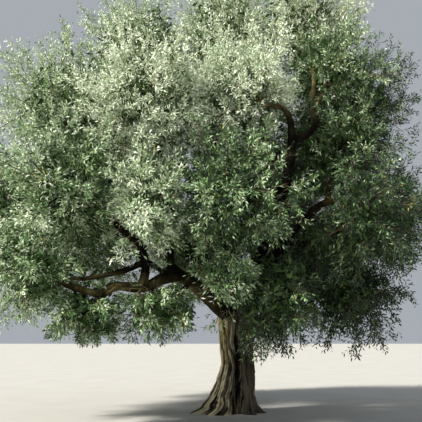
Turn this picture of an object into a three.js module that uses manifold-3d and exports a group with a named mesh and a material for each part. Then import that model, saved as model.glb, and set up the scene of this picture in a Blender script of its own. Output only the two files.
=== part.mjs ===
/*
 * An old olive tree, rooted in the ground.
 *
 * A short, fluted trunk with a wide root flare stands on its flat cut at ground level. It divides
 * at head height into main boughs. Smaller limbs leave the boughs, and every limb that ends free
 * carries one mass of foliage. Millimetres, +Z up, +X to the right, the front looks along -Y.
 * The origin lies on the flat cut under the trunk.
 *
 * Every mass grows by one seeded rule. A stem goes on from the tip of its limb. Branchlets leave
 * the stem on all sides but the one that faces the inside of the crown, and sprays of leaves leave
 * the branchlets. Here one thick blade stands for each spray of leaves.
 */
import * as THREE from "three";
import { mergeVertices } from "three/addons/utils/BufferGeometryUtils.js";
import Module from "manifold-3d";

const wasm = await Module();
wasm.setup();

// Driving dimensions
const FORK_HEIGHT = 1760;
const TRUNK_RADIUS = 322;
const CROWN_HEART = new THREE.Vector3(-300, 100, 4200);
const CLEAR = 0.3; // the gap between two pieces that meet
const SEED = 1907;

// Finishes
const BARK = new THREE.MeshStandardMaterial({ color: 0x6b6450, roughness: 0.92, metalness: 0 });
const LEAVES = new THREE.MeshStandardMaterial({ color: 0x7f9070, roughness: 0.55, metalness: 0 });

const UP = new THREE.Vector3(0, 0, 1);
const TURN = 2 * Math.PI;
const GOLDEN_TURN = TURN * 0.381966; // from each side growth to the next one
const HEADING_STEP = 0.004;
const RING_TURN = -TURN / 12; // lays a ring of three corners flat along its side direction
const degrees = (angle) => (angle * TURN) / 360;
const vector = (point) => new THREE.Vector3(...point);

/** A repeatable number from 0 to 1 for a list of whole numbers. */
function chance(...keys) {
  let mixed = SEED;
  for (const key of keys) {
    mixed = Math.imul((mixed ^ key) + 0x9e3779b9, 0x85ebca6b) >>> 0;
    mixed = Math.imul(mixed ^ (mixed >>> 13), 0xc2b2ae35) >>> 0;
    mixed = (mixed ^ (mixed >>> 16)) >>> 0;
  }
  return mixed / 2 ** 32;
}

/** The point at 0 to 1 on the smooth curve that passes through all the points in turn. */
function along(points, share) {
  const last = points.length - 1;
  const place = Math.min(share, 1) * last;
  const i = Math.min(Math.floor(place), last - 1);
  const t = place - i;
  const [b, c] = [points[i], points[i + 1]];
  const a = i > 0 ? points[i - 1] : b.clone().multiplyScalar(2).sub(c);
  const d = i + 2 <= last ? points[i + 2] : c.clone().multiplyScalar(2).sub(b);
  const weights = [
    (-t + 2 * t * t - t ** 3) / 2,
    (2 - 5 * t * t + 3 * t ** 3) / 2,
    (t + 4 * t * t - 3 * t ** 3) / 2,
    (-t * t + t ** 3) / 2,
  ];
  const sum = new THREE.Vector3();
  [a, b, c, d].forEach((point, k) => sum.addScaledVector(point, weights[k]));
  return sum;
}

/** The direction of that curve at 0 to 1. */
function heading(points, share) {
  const before = along(points, Math.max(share - HEADING_STEP, 0));
  return along(points, Math.min(share + HEADING_STEP, 1)).sub(before).normalize();
}

/** A closed skin over rings of points; middleEnds fans the flat ends from a point in their middle. */
function skin(rings, middleEnds = false) {
  const sides = rings[0].length;
  const corners = rings.flat();
  const faces = [];
  for (let k = 0; k < sides; k += 1) {
    const next = (k + 1) % sides;
    for (let r = 0; r + 1 < rings.length; r += 1) {
      const [low, high] = [r * sides, (r + 1) * sides];
      faces.push(low + k, low + next, high + next, low + k, high + next, high + k);
    }
  }
  const first = Array.from({ length: sides }, (_, k) => sides - 1 - k);
  const last = Array.from({ length: sides }, (_, k) => (rings.length - 1) * sides + k);
  for (const end of [first, last]) {
    if (middleEnds) {
      const middle = end.reduce((sum, k) => sum.add(corners[k]), new THREE.Vector3());
      corners.push(middle.divideScalar(sides));
      end.forEach((k, place) => faces.push(corners.length - 1, k, end[(place + 1) % sides]));
    } else {
      for (let k = 1; k + 1 < sides; k += 1) faces.push(end[0], end[k], end[k + 1]);
    }
  }
  const geometry = new THREE.BufferGeometry();
  const numbers = corners.flatMap((p) => [p.x, p.y, p.z]);
  geometry.setAttribute("position", new THREE.Float32BufferAttribute(numbers, 3));
  geometry.setIndex(faces);
  return geometry;
}

/** A ring of points square to a direction: half its width along side, half its depth across. */
function ringRound(centre, forward, side, half, deep, sides) {
  const flat = side.clone().addScaledVector(forward, -side.dot(forward)).normalize();
  const across = new THREE.Vector3().crossVectors(forward, flat);
  return Array.from({ length: sides }, (_, k) => {
    const angle = (k / sides) * TURN + RING_TURN;
    const out = flat.clone().multiplyScalar(half * Math.cos(angle));
    return out.addScaledVector(across, deep * Math.sin(angle)).add(centre);
  });
}

/** The rings of a tapering tube along a curve, its radius a function of 0 to 1. */
function tubeRings(points, radiusAt, side, sides, steps) {
  return Array.from({ length: steps + 1 }, (_, s) => {
    const share = s / steps;
    const radius = radiusAt(share);
    return ringRound(along(points, share), heading(points, share), side, radius, radius, sides);
  });
}

const SAME_POINT = 1e-3;

/** A copy of a geometry that holds only its corners, each of them once. */
function cornersOnly(geometry) {
  const bare = geometry.clone();
  bare.deleteAttribute("normal");
  bare.deleteAttribute("uv");
  return mergeVertices(bare, SAME_POINT);
}

/** A closed geometry as a solid that can be joined and cut. */
function solidOf(geometry) {
  const merged = cornersOnly(geometry);
  const corners = merged.index.array;
  const faces = [];
  for (let k = 0; k < corners.length; k += 3) {
    const [a, b, c] = corners.slice(k, k + 3);
    if (a !== b && b !== c && c !== a) faces.push(a, b, c);
  }
  return new wasm.Manifold(
    new wasm.Mesh({
      numProp: 3,
      vertProperties: new Float32Array(merged.attributes.position.array),
      triVerts: new Uint32Array(faces),
    }),
  );
}

/** The largest single body of a solid, without loose scraps and without sealed hollows. */
function mainBody(solid) {
  const bodies = solid.decompose();
  return bodies.reduce((best, body) => (body.volume() > best.volume() ? body : best));
}

/** A named mesh of a solid. */
function meshOf(name, solid, material) {
  const { vertProperties, triVerts } = mainBody(solid).getMesh();
  const geometry = new THREE.BufferGeometry();
  geometry.setAttribute("position", new THREE.Float32BufferAttribute(vertProperties, 3));
  geometry.setIndex([...triVerts]);
  geometry.computeVertexNormals();
  const mesh = new THREE.Mesh(geometry, material);
  mesh.name = name;
  return mesh;
}

// Trunk

const TRUNK_SIDES = 24;
const WAIST = 0.1; // how much slimmer the trunk is halfway up
const TOE = 5; // how sharply the lower half of a root's swelling runs out along the ground

// Roots that swell out of the foot: where they point, how wide, how far out and how high they rise
const ROOTS = [
  { angle: 186, spread: 30, reach: 560, rise: 840 },
  { angle: -8, spread: 20, reach: 230, rise: 300 },
  { angle: -52, spread: 17, reach: 150, rise: 260 },
  { angle: -126, spread: 22, reach: 200, rise: 420 },
  { angle: 62, spread: 24, reach: 260, rise: 420 },
  { angle: 118, spread: 20, reach: 190, rise: 330 },
];
// Strands of old wood that stand out round the trunk
const STRANDS = [
  { count: 5, height: 17, twist: 1.1, from: 20 },
  { count: 8, height: 10, twist: -0.8, from: 75 },
];
// The long hollow that runs up the front, and the heights over which it opens and closes
const HOLLOW = { angle: -92, spread: 9, depth: 95, opens: [60, 310], closes: [1100, 1500] };
const TRUNK_AXIS = [[62, 0, 0], [84, 0, 900], [60, -10, FORK_HEIGHT]].map(vector);
const TRUNK_HEIGHTS = [0, 70, 150, 280, 460, 640, 850, 1150, 1450, 1640, 1760, 1830];
const DOME = [1600, 1900]; // where the rounded top starts, and where it would close

/** A round hump of height 1 over an angle, as wide as its spread on each side. */
function hump(angle, middle, spread) {
  const off = Math.atan2(Math.sin(angle - degrees(middle)), Math.cos(angle - degrees(middle)));
  return Math.exp(-((off / degrees(spread)) ** 2));
}

/** The trunk's radius at an angle (0 along +X) and a height. */
function trunkRadius(angle, height) {
  const rise = height / FORK_HEIGHT;
  let radius = TRUNK_RADIUS * (1 - WAIST * Math.sin(rise * Math.PI) ** 2);
  for (const { count, height: out, twist, from } of STRANDS) {
    radius += out * Math.cos(count * (angle - degrees(from)) + twist * rise * count);
  }
  for (const { angle: way, spread, reach, rise: top } of ROOTS) {
    const down = Math.max(0, 1 - height / top);
    radius += ((reach * (down + down ** TOE)) / 2) * hump(angle, way, spread);
  }
  const { smoothstep, clamp } = THREE.MathUtils;
  const open = smoothstep(height, ...HOLLOW.opens) - smoothstep(height, ...HOLLOW.closes);
  radius -= HOLLOW.depth * open * hump(angle, HOLLOW.angle, HOLLOW.spread);
  const dome = clamp((height - DOME[0]) / (DOME[1] - DOME[0]), 0, 1);
  return radius * Math.sqrt(1 - dome * dome);
}

/** The trunk's skin; grow moves it outwards, to cut other pieces clear of it. */
function trunkSkin(grow = 0) {
  const rings = TRUNK_HEIGHTS.map((height) => {
    const centre = along(TRUNK_AXIS, Math.min(height / FORK_HEIGHT, 1));
    return Array.from({ length: TRUNK_SIDES }, (_, k) => {
      const angle = (k / TRUNK_SIDES) * TURN;
      const radius = trunkRadius(angle, height) + grow;
      const top = height === TRUNK_HEIGHTS[TRUNK_HEIGHTS.length - 1] ? grow : 0;
      const x = centre.x + radius * Math.cos(angle);
      return new THREE.Vector3(x, centre.y + radius * Math.sin(angle), height + top);
    });
  });
  return skin(rings, true);
}

// Limbs and masses

/*
 * One row is one limb and the mass of foliage at its end.
 *   on, at      the limb that it leaves, and where along that one, 0 to 1
 *   via         points that it passes, after which it ends just inside its mass
 *   thick       its radius where it leaves and where it ends
 *   centre      the middle of the mass
 *   reach, flat the furthest that the mass grows sideways, and its height as a share of that
 *   lift        how much its sprays turn up (above 0) or hang down (below 0)
 */
const ROWS = [
  {
    limb: "left_bough", on: "trunk", at: 0.93, thick: [138, 42],
    via: [[-330, -300, 1945], [-860, -1040, 2365], [-1190, -1350, 2330], [-1530, -1650, 2165],
      [-1953, -1800, 2173], [-2179, -1900, 2050], [-2700, -2070, 2190]],
    mass: "left_low_foliage", centre: [-3500, -1200, 2600], reach: 1280, flat: 1, lift: -0.3,
  },
  {
    limb: "left_upright", on: "left_bough", at: 0.5, thick: [78, 42],
    via: [[-1475, -1700, 2510], [-1574, -1800, 2858], [-1800, -1900, 3040]],
    mass: "left_front_foliage", centre: [-2700, -2000, 3800], reach: 1480, flat: 1, lift: 0.25,
  },
  {
    limb: "left_arm", on: "left_upright", at: 0.3, thick: [46, 32],
    via: [[-1774, -1800, 2441], [-2091, -1880, 2350], [-2455, -1980, 2281]],
    mass: "left_outer_foliage", centre: [-3000, -2250, 2350], reach: 900, flat: 0.9, lift: -0.3,
  },
  {
    limb: "middle_limb", on: "left_bough", at: 0.34, thick: [72, 38],
    via: [[-1080, -1520, 2720]],
    mass: "middle_front_foliage", centre: [-1350, -2250, 3450], reach: 1350, flat: 1, lift: 0.1,
  },
  {
    limb: "left_hanging_limb", on: "left_bough", at: 0.6, thick: [36, 24],
    via: [[-2010, -1960, 2070]],
    mass: "left_hanging_foliage", centre: [-2350, -2050, 1770], reach: 950, flat: 0.6, lift: -0.7,
  },
  {
    limb: "middle_hanging_limb", on: "left_bough", at: 0.22, thick: [48, 28],
    via: [[-840, -1300, 2190]],
    mass: "middle_hanging_foliage", centre: [-1280, -2000, 1900], reach: 1000, flat: 0.68, lift: -0.7,
  },
  {
    limb: "upper_bough", on: "trunk", at: 0.96, thick: [132, 36],
    via: [[238, -400, 2260], [496, -1000, 3040], [799, -1500, 3770], [955, -1740, 4400],
      [938, -1850, 4900], [822, -1890, 5146]],
    mass: "centre_top_foliage", centre: [0, -1300, 5600], reach: 1600, flat: 1, lift: 0.35,
  },
  {
    limb: "upper_right_limb", on: "upper_bough", at: 0.63, thick: [58, 32],
    via: [[1200, -1800, 4700], [1371, -1800, 4930], [1305, -1770, 5200], [1390, -1640, 5750]],
    mass: "top_right_foliage", centre: [1450, -500, 7300], reach: 1550, flat: 1, lift: 0.5,
  },
  {
    limb: "upper_side_limb", on: "upper_right_limb", at: 0.55, thick: [34, 26],
    via: [[1480, -1600, 5400]],
    mass: "upper_right_foliage", centre: [1700, -1200, 6050], reach: 1300, flat: 1, lift: 0.3,
  },
  {
    limb: "centre_low_limb", on: "upper_bough", at: 0.08, thick: [58, 32],
    via: [[60, -800, 2160]],
    mass: "centre_low_foliage", centre: [-60, -2150, 2350], reach: 1050, flat: 1, lift: -0.5,
  },
  {
    limb: "centre_limb", on: "upper_bough", at: 0.17, thick: [74, 38],
    via: [[60, -1000, 2780]],
    mass: "centre_front_foliage", centre: [-80, -2250, 3550], reach: 1480, flat: 1, lift: -0.1,
  },
  {
    limb: "right_bough", on: "trunk", at: 0.92, thick: [125, 46],
    via: [[533, -400, 2400], [913, -850, 3050], [1274, -1150, 3438], [1660, -1290, 3680]],
    mass: "right_end_foliage", centre: [2750, -600, 3550], reach: 1400, flat: 1, lift: -0.2,
  },
  {
    limb: "right_rising_limb", on: "right_bough", at: 0.79, thick: [46, 32],
    via: [[1640, -1290, 3920]],
    mass: "right_front_foliage", centre: [2020, -1000, 4750], reach: 1350, flat: 1, lift: 0.1,
  },
  {
    limb: "right_second_limb", on: "right_bough", at: 0.4, thick: [62, 34],
    via: [[1300, -1100, 2960], [1737, -1300, 3133], [1930, -1340, 3290]],
    mass: "right_middle_foliage", centre: [1980, -1900, 3150], reach: 1250, flat: 1, lift: -0.5,
  },
  {
    limb: "right_low_limb", on: "right_bough", at: 0.2, thick: [62, 34],
    via: [[1050, -700, 2500]],
    mass: "right_low_foliage", centre: [1950, -1250, 2150], reach: 1180, flat: 1, lift: -0.7,
  },
  {
    limb: "right_hanging_limb", on: "trunk", at: 0.9, thick: [66, 36],
    via: [[400, -650, 2080]],
    mass: "right_hanging_foliage", centre: [640, -1900, 1960], reach: 1150, flat: 0.95, lift: -0.7,
  },
  {
    limb: "crown_bough", on: "trunk", at: 0.97, thick: [165, 48],
    via: [[-60, 120, 2700], [-250, 200, 4000], [-700, 220, 5200]],
    mass: "top_left_foliage", centre: [-1800, 200, 7000], reach: 1700, flat: 1, lift: 0.6,
  },
  {
    limb: "left_high_bough", on: "crown_bough", at: 0.38, thick: [82, 42],
    via: [[-480, -350, 3750], [-850, -850, 4350]],
    mass: "middle_top_foliage", centre: [-1450, -1700, 5350], reach: 1600, flat: 1, lift: 0.4,
  },
  {
    limb: "left_top_limb", on: "crown_bough", at: 0.5, thick: [78, 38],
    via: [[-1100, -50, 4650], [-1900, -350, 5150]],
    mass: "left_top_foliage", centre: [-3200, -600, 5650], reach: 1650, flat: 1, lift: 0.6,
  },
  {
    limb: "top_middle_limb", on: "crown_bough", at: 0.62, thick: [66, 36],
    via: [[-250, 260, 5700]],
    mass: "top_middle_foliage", centre: [-50, 200, 7450], reach: 1650, flat: 1, lift: 0.6,
  },
  {
    limb: "back_top_limb", on: "crown_bough", at: 0.42, thick: [68, 36],
    via: [[0, 800, 4500]],
    mass: "back_top_foliage", centre: [150, 2000, 5900], reach: 1650, flat: 1, lift: 0.4,
  },
  {
    limb: "rear_left_bough", on: "trunk", at: 0.94, thick: [130, 46],
    via: [[-480, 450, 2230], [-1300, 950, 2620]],
    mass: "back_left_foliage", centre: [-2900, 1500, 3600], reach: 1680, flat: 1, lift: -0.1,
  },
  {
    limb: "left_end_limb", on: "rear_left_bough", at: 0.45, thick: [72, 38],
    via: [[-1750, 500, 3150], [-2700, 50, 3450]],
    mass: "left_end_foliage", centre: [-4150, -300, 3850], reach: 1480, flat: 1, lift: 0.1,
  },
  {
    limb: "back_top_left_limb", on: "rear_left_bough", at: 0.64, thick: [62, 36],
    via: [[-1650, 1350, 4250]],
    mass: "back_top_left_foliage", centre: [-2200, 1500, 5400], reach: 1680, flat: 1, lift: 0.4,
  },
  {
    limb: "rear_bough", on: "rear_left_bough", at: 0.2, thick: [88, 42],
    via: [[-360, 1100, 2720]],
    mass: "back_middle_foliage", centre: [-750, 2400, 3350], reach: 1600, flat: 1, lift: -0.1,
  },
  {
    limb: "rear_right_bough", on: "trunk", at: 0.95, thick: [135, 46],
    via: [[450, 450, 2450], [850, 1050, 2900]],
    mass: "back_right_foliage", centre: [1550, 2000, 3300], reach: 1600, flat: 1, lift: -0.2,
  },
  {
    limb: "right_high_bough", on: "rear_right_bough", at: 0.4, thick: [88, 40],
    via: [[1150, 550, 3400], [1750, 400, 4550]],
    mass: "right_top_foliage", centre: [2350, 100, 6000], reach: 1550, flat: 1, lift: 0.3,
  },
  {
    limb: "back_top_right_limb", on: "right_high_bough", at: 0.4, thick: [52, 32],
    via: [[1500, 950, 4150]],
    mass: "back_top_right_foliage", centre: [1900, 1650, 5200], reach: 1550, flat: 1, lift: 0.3,
  },
  {
    limb: "inner_limb", on: "rear_right_bough", at: 0.3, thick: [54, 32],
    via: [[680, 280, 3050]],
    mass: "inner_foliage", centre: [900, 200, 4300], reach: 1350, flat: 1, lift: 0.2,
  },
];
// How far from its mass's centre a limb ends at most: a share of the room on that side, and a share
// of the distance from the last point that it passes
const [ENTRY, LAST_LEG] = [0.74, 0.8];
const THICK_LIMB = 100; // from this radius a limb has more sides
const [THICK_SIDES, THIN_SIDES] = [7, 5];
const TAPER = 1.15;
const COLLAR = 0.3; // the swelling where a limb leaves, as a share of its radius
const COLLAR_SHARE = 0.12; // and the share of its length over which that fades
const WALL_CLEAR = 12; // from a mass to the wall between it and the next one

/** How far a mass may grow from its centre in a direction: a share of its reach, then its walls. */
function room(mass, way, share = 1, off = 0) {
  const { reach, flat } = mass;
  let far = (share * reach) / Math.hypot(way.x, way.y, way.z / flat);
  for (const wall of mass.walls) {
    const toward = wall.normal.dot(way);
    if (toward > 0) far = Math.min(far, (wall.distance - off) / toward);
  }
  return far;
}

/** The flat walls halfway between a mass and each mass near it, weighed by their sizes. */
function wallsOf(mass, others) {
  const walls = [];
  for (const other of others) {
    const gap = other.centre.clone().sub(mass.centre);
    const apart = gap.length();
    if (other === mass || apart > mass.reach + other.reach) continue;
    const distance = (apart * apart + mass.reach ** 2 - other.reach ** 2) / (2 * apart);
    walls.push({ normal: gap.divideScalar(apart), distance: distance - WALL_CLEAR });
  }
  return walls;
}

const masses = ROWS.map((row, index) => ({ ...row, index, centre: vector(row.centre) }));
for (const mass of masses) mass.walls = wallsOf(mass, masses);

/** A limb's radius at 0 to 1, with a collar where it leaves its parent. */
function limbRadius({ thick: [base, end] }, share) {
  return end + (base - end) * (1 - share) ** TAPER + COLLAR * base * Math.exp(-share / COLLAR_SHARE);
}

const curves = { trunk: TRUNK_AXIS };
for (const mass of masses) {
  const start = along(curves[mass.on], mass.at);
  const via = mass.via.map(vector);
  const inward = via[via.length - 1].clone().sub(mass.centre);
  const left = LAST_LEG * inward.length();
  inward.normalize();
  const out = Math.min(left, ENTRY * room(mass, inward));
  const tip = mass.centre.clone().addScaledVector(inward, out);
  mass.curve = [start, ...via, tip];
  curves[mass.limb] = mass.curve;
}

/** A limb's skin; grow makes it thicker and longer, to cut other pieces clear of it. */
function limbSkinOf(mass, grow = 0) {
  const sides = mass.thick[0] > THICK_LIMB ? THICK_SIDES : THIN_SIDES;
  const curve = [...mass.curve];
  const tip = curve[curve.length - 1];
  curve[curve.length - 1] = tip.clone().addScaledVector(heading(mass.curve, 1), grow);
  const [side] = squareTo(tip.clone().sub(curve[0]).normalize());
  const radiusAt = (share) => limbRadius(mass, share) + grow;
  return skin(tubeRings(curve, radiusAt, side, sides, curve.length));
}

// Growth of a mass

// The stem, in shares of the room round the mass's centre and of its own length
const STEM_PAST_CENTRE = 0.2;
const STEM_BEND = 0.35;
const STEM_THIN = 0.85; // its radius at the root, as a share of the limb's tip
const [STEM_BARE, STEM_GROWN] = [0.3, 0.65]; // its bare start, and the part that bears branchlets

// Branchlets: how many, how far they turn to the inside of the crown, reach and bend
const BRANCHLETS = 8;
const BACK_SHARE = 0.3;
const BRANCHLET_REACH = 0.68;
const BRANCHLET_SAG = 0.12;
const BRANCHLET_SWING = 0.1;
const TWIG_THICK = [34, 24]; // radius at its root and at its end
const TWIG_CLEAR = 16; // from a twig, a blade or a core to a limb

// Sprays: places along a branchlet, the last at its end, and the parts of a spray's direction
const SPRAYS = 7;
const FIRST_SPRAY = 0.4;
const SPRAY_WAY = { forward: 0.55, aside: 0.85, asideAtTip: 0.15, outward: 0.5, lift: 0.6 };
const [SPRAY_SHORT, SPRAY_LONG] = [0.27, 0.32];
const SIDE_SPRAYS = [5, 4, 3, 2]; // the first of these places with space bears the side blade

// The blade that stands for a spray, in shares of its length
const BLADE_WIDTH = 0.46;
const BLADE_THICK = 0.06;
const BLADE_WIDEST = 0.42;
const BLADE_SUNK = 12; // millimetres that its root lies in the twig
const BLADES_APART = 0.42;
// Places along a blade that are tested, and how wide it is there in shares of its half width
const BLADE_TESTS = [[0.2, 0.4], [BLADE_WIDEST, 1], [0.75, 0.5], [1, 0]];
const TWIG_TESTS = [0.1, 0.3, 0.5, 0.7, 0.85, 1];

// The core: its size, how much its corners vary, and how far it stays from the walls
const HEART = 0.64;
const HEART_ROUGH = 0.32;
const HEART_OFF_WALLS = 30;

/** Two directions square to a given one and to each other. */
function squareTo(way) {
  const lean = Math.abs(way.z) < 0.9 ? UP : new THREE.Vector3(1, 0, 0);
  const first = new THREE.Vector3().crossVectors(lean, way).normalize();
  return [first, new THREE.Vector3().crossVectors(way, first)];
}

/** The way out of the crown from a mass's centre. */
function outwardOf(mass) {
  return mass.centre.clone().sub(CROWN_HEART).normalize();
}

/** The stem's three points: the limb's tip, a bend, and its end past the mass's centre. */
function stemOf(mass) {
  const away = heading(mass.curve, 1);
  const root = mass.curve[mass.curve.length - 1].clone().addScaledVector(away, CLEAR);
  const outward = outwardOf(mass);
  const past = STEM_PAST_CENTRE * room(mass, outward);
  const end = mass.centre.clone().addScaledVector(outward, past);
  const bend = root.clone().addScaledVector(away, STEM_BEND * root.distanceTo(end));
  return [root, bend, end];
}

/** A branchlet's direction from the mass's centre: an even spread round the way out. */
function branchletWay(mass, i) {
  const outward = outwardOf(mass);
  const [first, second] = squareTo(outward);
  const height = 1 - ((i + 0.5) / BRANCHLETS) * (1 + BACK_SHARE);
  const angle = i * GOLDEN_TURN + TURN * chance(mass.index, 1);
  const out = Math.sqrt(1 - height * height);
  return outward
    .multiplyScalar(height)
    .addScaledVector(first, out * Math.cos(angle))
    .addScaledVector(second, out * Math.sin(angle))
    .normalize();
}

/** The bent line of a branchlet, from the stem to a point in the outer part of the mass. */
function branchletOf(mass, stem, i) {
  const way = branchletWay(mass, i);
  const start = along(stem, STEM_BARE + STEM_GROWN * chance(mass.index, i, 2));
  const end = mass.centre.clone().addScaledVector(way, BRANCHLET_REACH * room(mass, way));
  const long = start.distanceTo(end);
  const bend = start.clone().lerp(end, 0.5);
  bend.addScaledVector(UP, -BRANCHLET_SAG * mass.lift * long);
  bend.addScaledVector(heading(stem, 0.5), BRANCHLET_SWING * long);
  return { way, line: [start, bend, end] };
}

/** A spray of leaves on a branchlet: where it starts and where its furthest leaf ends. */
function sprayOf(mass, i, branchlet, j) {
  const share = FIRST_SPRAY + ((1 - FIRST_SPRAY) * j) / (SPRAYS - 1);
  const root = along(branchlet.line, share);
  const forward = heading(branchlet.line, share);
  const [first, second] = squareTo(forward);
  const angle = j * GOLDEN_TURN + TURN * chance(mass.index, i, 3);
  const aside = j === SPRAYS - 1 ? SPRAY_WAY.asideAtTip : SPRAY_WAY.aside;
  const way = forward
    .multiplyScalar(SPRAY_WAY.forward)
    .addScaledVector(first, aside * Math.cos(angle))
    .addScaledVector(second, aside * Math.sin(angle))
    .addScaledVector(branchlet.way, SPRAY_WAY.outward)
    .addScaledVector(UP, SPRAY_WAY.lift * mass.lift)
    .normalize();
  const size = SPRAY_SHORT + (SPRAY_LONG - SPRAY_SHORT) * chance(mass.index, i, j, 4);
  const long = size * room(mass, branchlet.way);
  return { root, way, long, roll: TURN * chance(mass.index, i, j, 5) };
}

/** True where a ball at a point stays in the mass's own space. */
function within(mass, point, radius) {
  const off = point.clone().sub(mass.centre);
  const far = off.length();
  return far < 1 || far + radius < room(mass, off.divideScalar(far));
}

const BEADS = 40; // balls that stand for a limb where growth is tested against it
const OWN_END = 0.9; // from here a mass's own limb is let be, so that growth may start at its tip
const limbBeads = masses.flatMap((mass) =>
  Array.from({ length: BEADS + 1 }, (_, k) => {
    const share = k / BEADS;
    return { mass, share, point: along(mass.curve, share), radius: limbRadius(mass, share) };
  }),
);

/** True where a ball at a point stays off every limb. */
function offLimbs(point, radius, own = null) {
  return limbBeads.every((bead) => {
    if (bead.mass === own && bead.share > OWN_END) return true;
    return bead.point.distanceTo(point) > bead.radius + radius;
  });
}

// The front is open before the limbs that show there. A row gives the part of the limb that shows;
// the eye is where the tree is looked at from.
const EYE = new THREE.Vector3(-402, -12300, 1480);
const WINDOWS = [
  { limb: "left_bough", from: 0.03, to: 0.88 },
  { limb: "left_upright", from: 0.1, to: 0.85 },
  { limb: "left_arm", from: 0.1, to: 0.9 },
  { limb: "upper_bough", from: 0.42, to: 0.9 },
  { limb: "upper_right_limb", from: 0.05, to: 0.55 },
  { limb: "right_bough", from: 0.6, to: 0.8 },
  { limb: "right_rising_limb", from: 0.1, to: 0.5 },
  { limb: "right_second_limb", from: 0.5, to: 0.72 },
];
const WINDOW_BEADS = 24;
const WINDOW_HALF = 25; // from the middle of such a limb to the nearest blade, as the eye sees it
const windowBeads = WINDOWS.flatMap(({ limb, from, to }) =>
  Array.from({ length: WINDOW_BEADS + 1 }, (_, k) => {
    const seen = along(curves[limb], THREE.MathUtils.lerp(from, to, k / WINDOW_BEADS)).sub(EYE);
    return { seen, far: seen.length() };
  }),
);

/** True where a ball at a point hides none of the limbs that show at the front. */
function offWindows(point, radius) {
  const sight = point.clone().sub(EYE);
  const near = sight.length();
  sight.divideScalar(near);
  return windowBeads.every(({ seen, far }) => {
    const beside = seen.clone().addScaledVector(sight, -seen.dot(sight)).length();
    return near > far || beside > WINDOW_HALF + (radius * far) / near;
  });
}

/** A twig of three sides along a branchlet, which spreads into a blade at its end. */
function branchletSkin({ line }, { way, long, roll }) {
  const [first, second] = squareTo(way);
  const side = first.multiplyScalar(Math.cos(roll)).addScaledVector(second, Math.sin(roll));
  const thin = (share) => THREE.MathUtils.lerp(TWIG_THICK[0], TWIG_THICK[1], share);
  const rings = tubeRings(line, thin, side, 3, 2);
  const end = line[line.length - 1];
  const middle = end.clone().addScaledVector(way, BLADE_WIDEST * long);
  const tip = end.clone().addScaledVector(way, long);
  // A flat ring of three corners is as wide as the square root of 3 times its half width, and as
  // thick as one and a half times its half depth
  const [half, deep] = [(BLADE_WIDTH * long) / Math.sqrt(3), (BLADE_THICK * long) / 1.5];
  rings.push(ringRound(middle, way, side, half, deep, 3));
  rings.push([tip, tip.clone(), tip.clone()]);
  return skin(rings);
}

/** A blade of eight faces, from a root sunk in its twig to a tip. */
function bladeSkin({ root, way, long, roll }) {
  const [first, second] = squareTo(way);
  const across = first.clone().multiplyScalar(Math.cos(roll)).addScaledVector(second, Math.sin(roll));
  const through = new THREE.Vector3().crossVectors(way, across);
  const middle = root.clone().addScaledVector(way, BLADE_WIDEST * long);
  const [half, deep] = [(BLADE_WIDTH * long) / 2, (BLADE_THICK * long) / 2];
  const corners = [
    root.clone().addScaledVector(way, -BLADE_SUNK),
    middle.clone().addScaledVector(across, half),
    middle.clone().addScaledVector(through, deep),
    middle.clone().addScaledVector(across, -half),
    middle.clone().addScaledVector(through, -deep),
    root.clone().addScaledVector(way, long),
  ];
  const geometry = new THREE.BufferGeometry();
  const numbers = corners.flatMap((p) => [p.x, p.y, p.z]);
  geometry.setAttribute("position", new THREE.Float32BufferAttribute(numbers, 3));
  geometry.setIndex([0, 2, 1, 0, 3, 2, 0, 4, 3, 0, 1, 4, 5, 1, 2, 5, 2, 3, 5, 3, 4, 5, 4, 1]);
  return geometry;
}

/** True where a ball at a point stays in its mass and off the limbs. */
function fits(mass, point, radius, own = null) {
  return within(mass, point, radius) && offLimbs(point, radius + TWIG_CLEAR, own);
}

/** True where a blade stays in its mass, off the limbs and out of the gaps before them. */
function bladeFits(mass, { root, way, long }) {
  return BLADE_TESTS.every(([share, wide]) => {
    const point = root.clone().addScaledVector(way, share * long);
    const radius = (wide * BLADE_WIDTH * long) / 2;
    return fits(mass, point, radius) && offWindows(point, radius);
  });
}

/** The dense core of a mass, pulled in from its walls and cut clear of the limbs. */
function heartOf(mass) {
  const ball = cornersOnly(new THREE.IcosahedronGeometry(1, 1));
  const place = ball.attributes.position;
  for (let k = 0; k < place.count; k += 1) {
    const way = new THREE.Vector3().fromBufferAttribute(place, k).normalize();
    const share = HEART * (1 - HEART_ROUGH * chance(mass.index, k, 6));
    const point = mass.centre.clone().addScaledVector(way, room(mass, way, share, HEART_OFF_WALLS));
    place.setXYZ(k, point.x, point.y, point.z);
  }
  let solid = solidOf(ball);
  for (const other of masses) solid = solid.subtract(limbCutters[other.limb]);
  return mainBody(solid);
}

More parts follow.
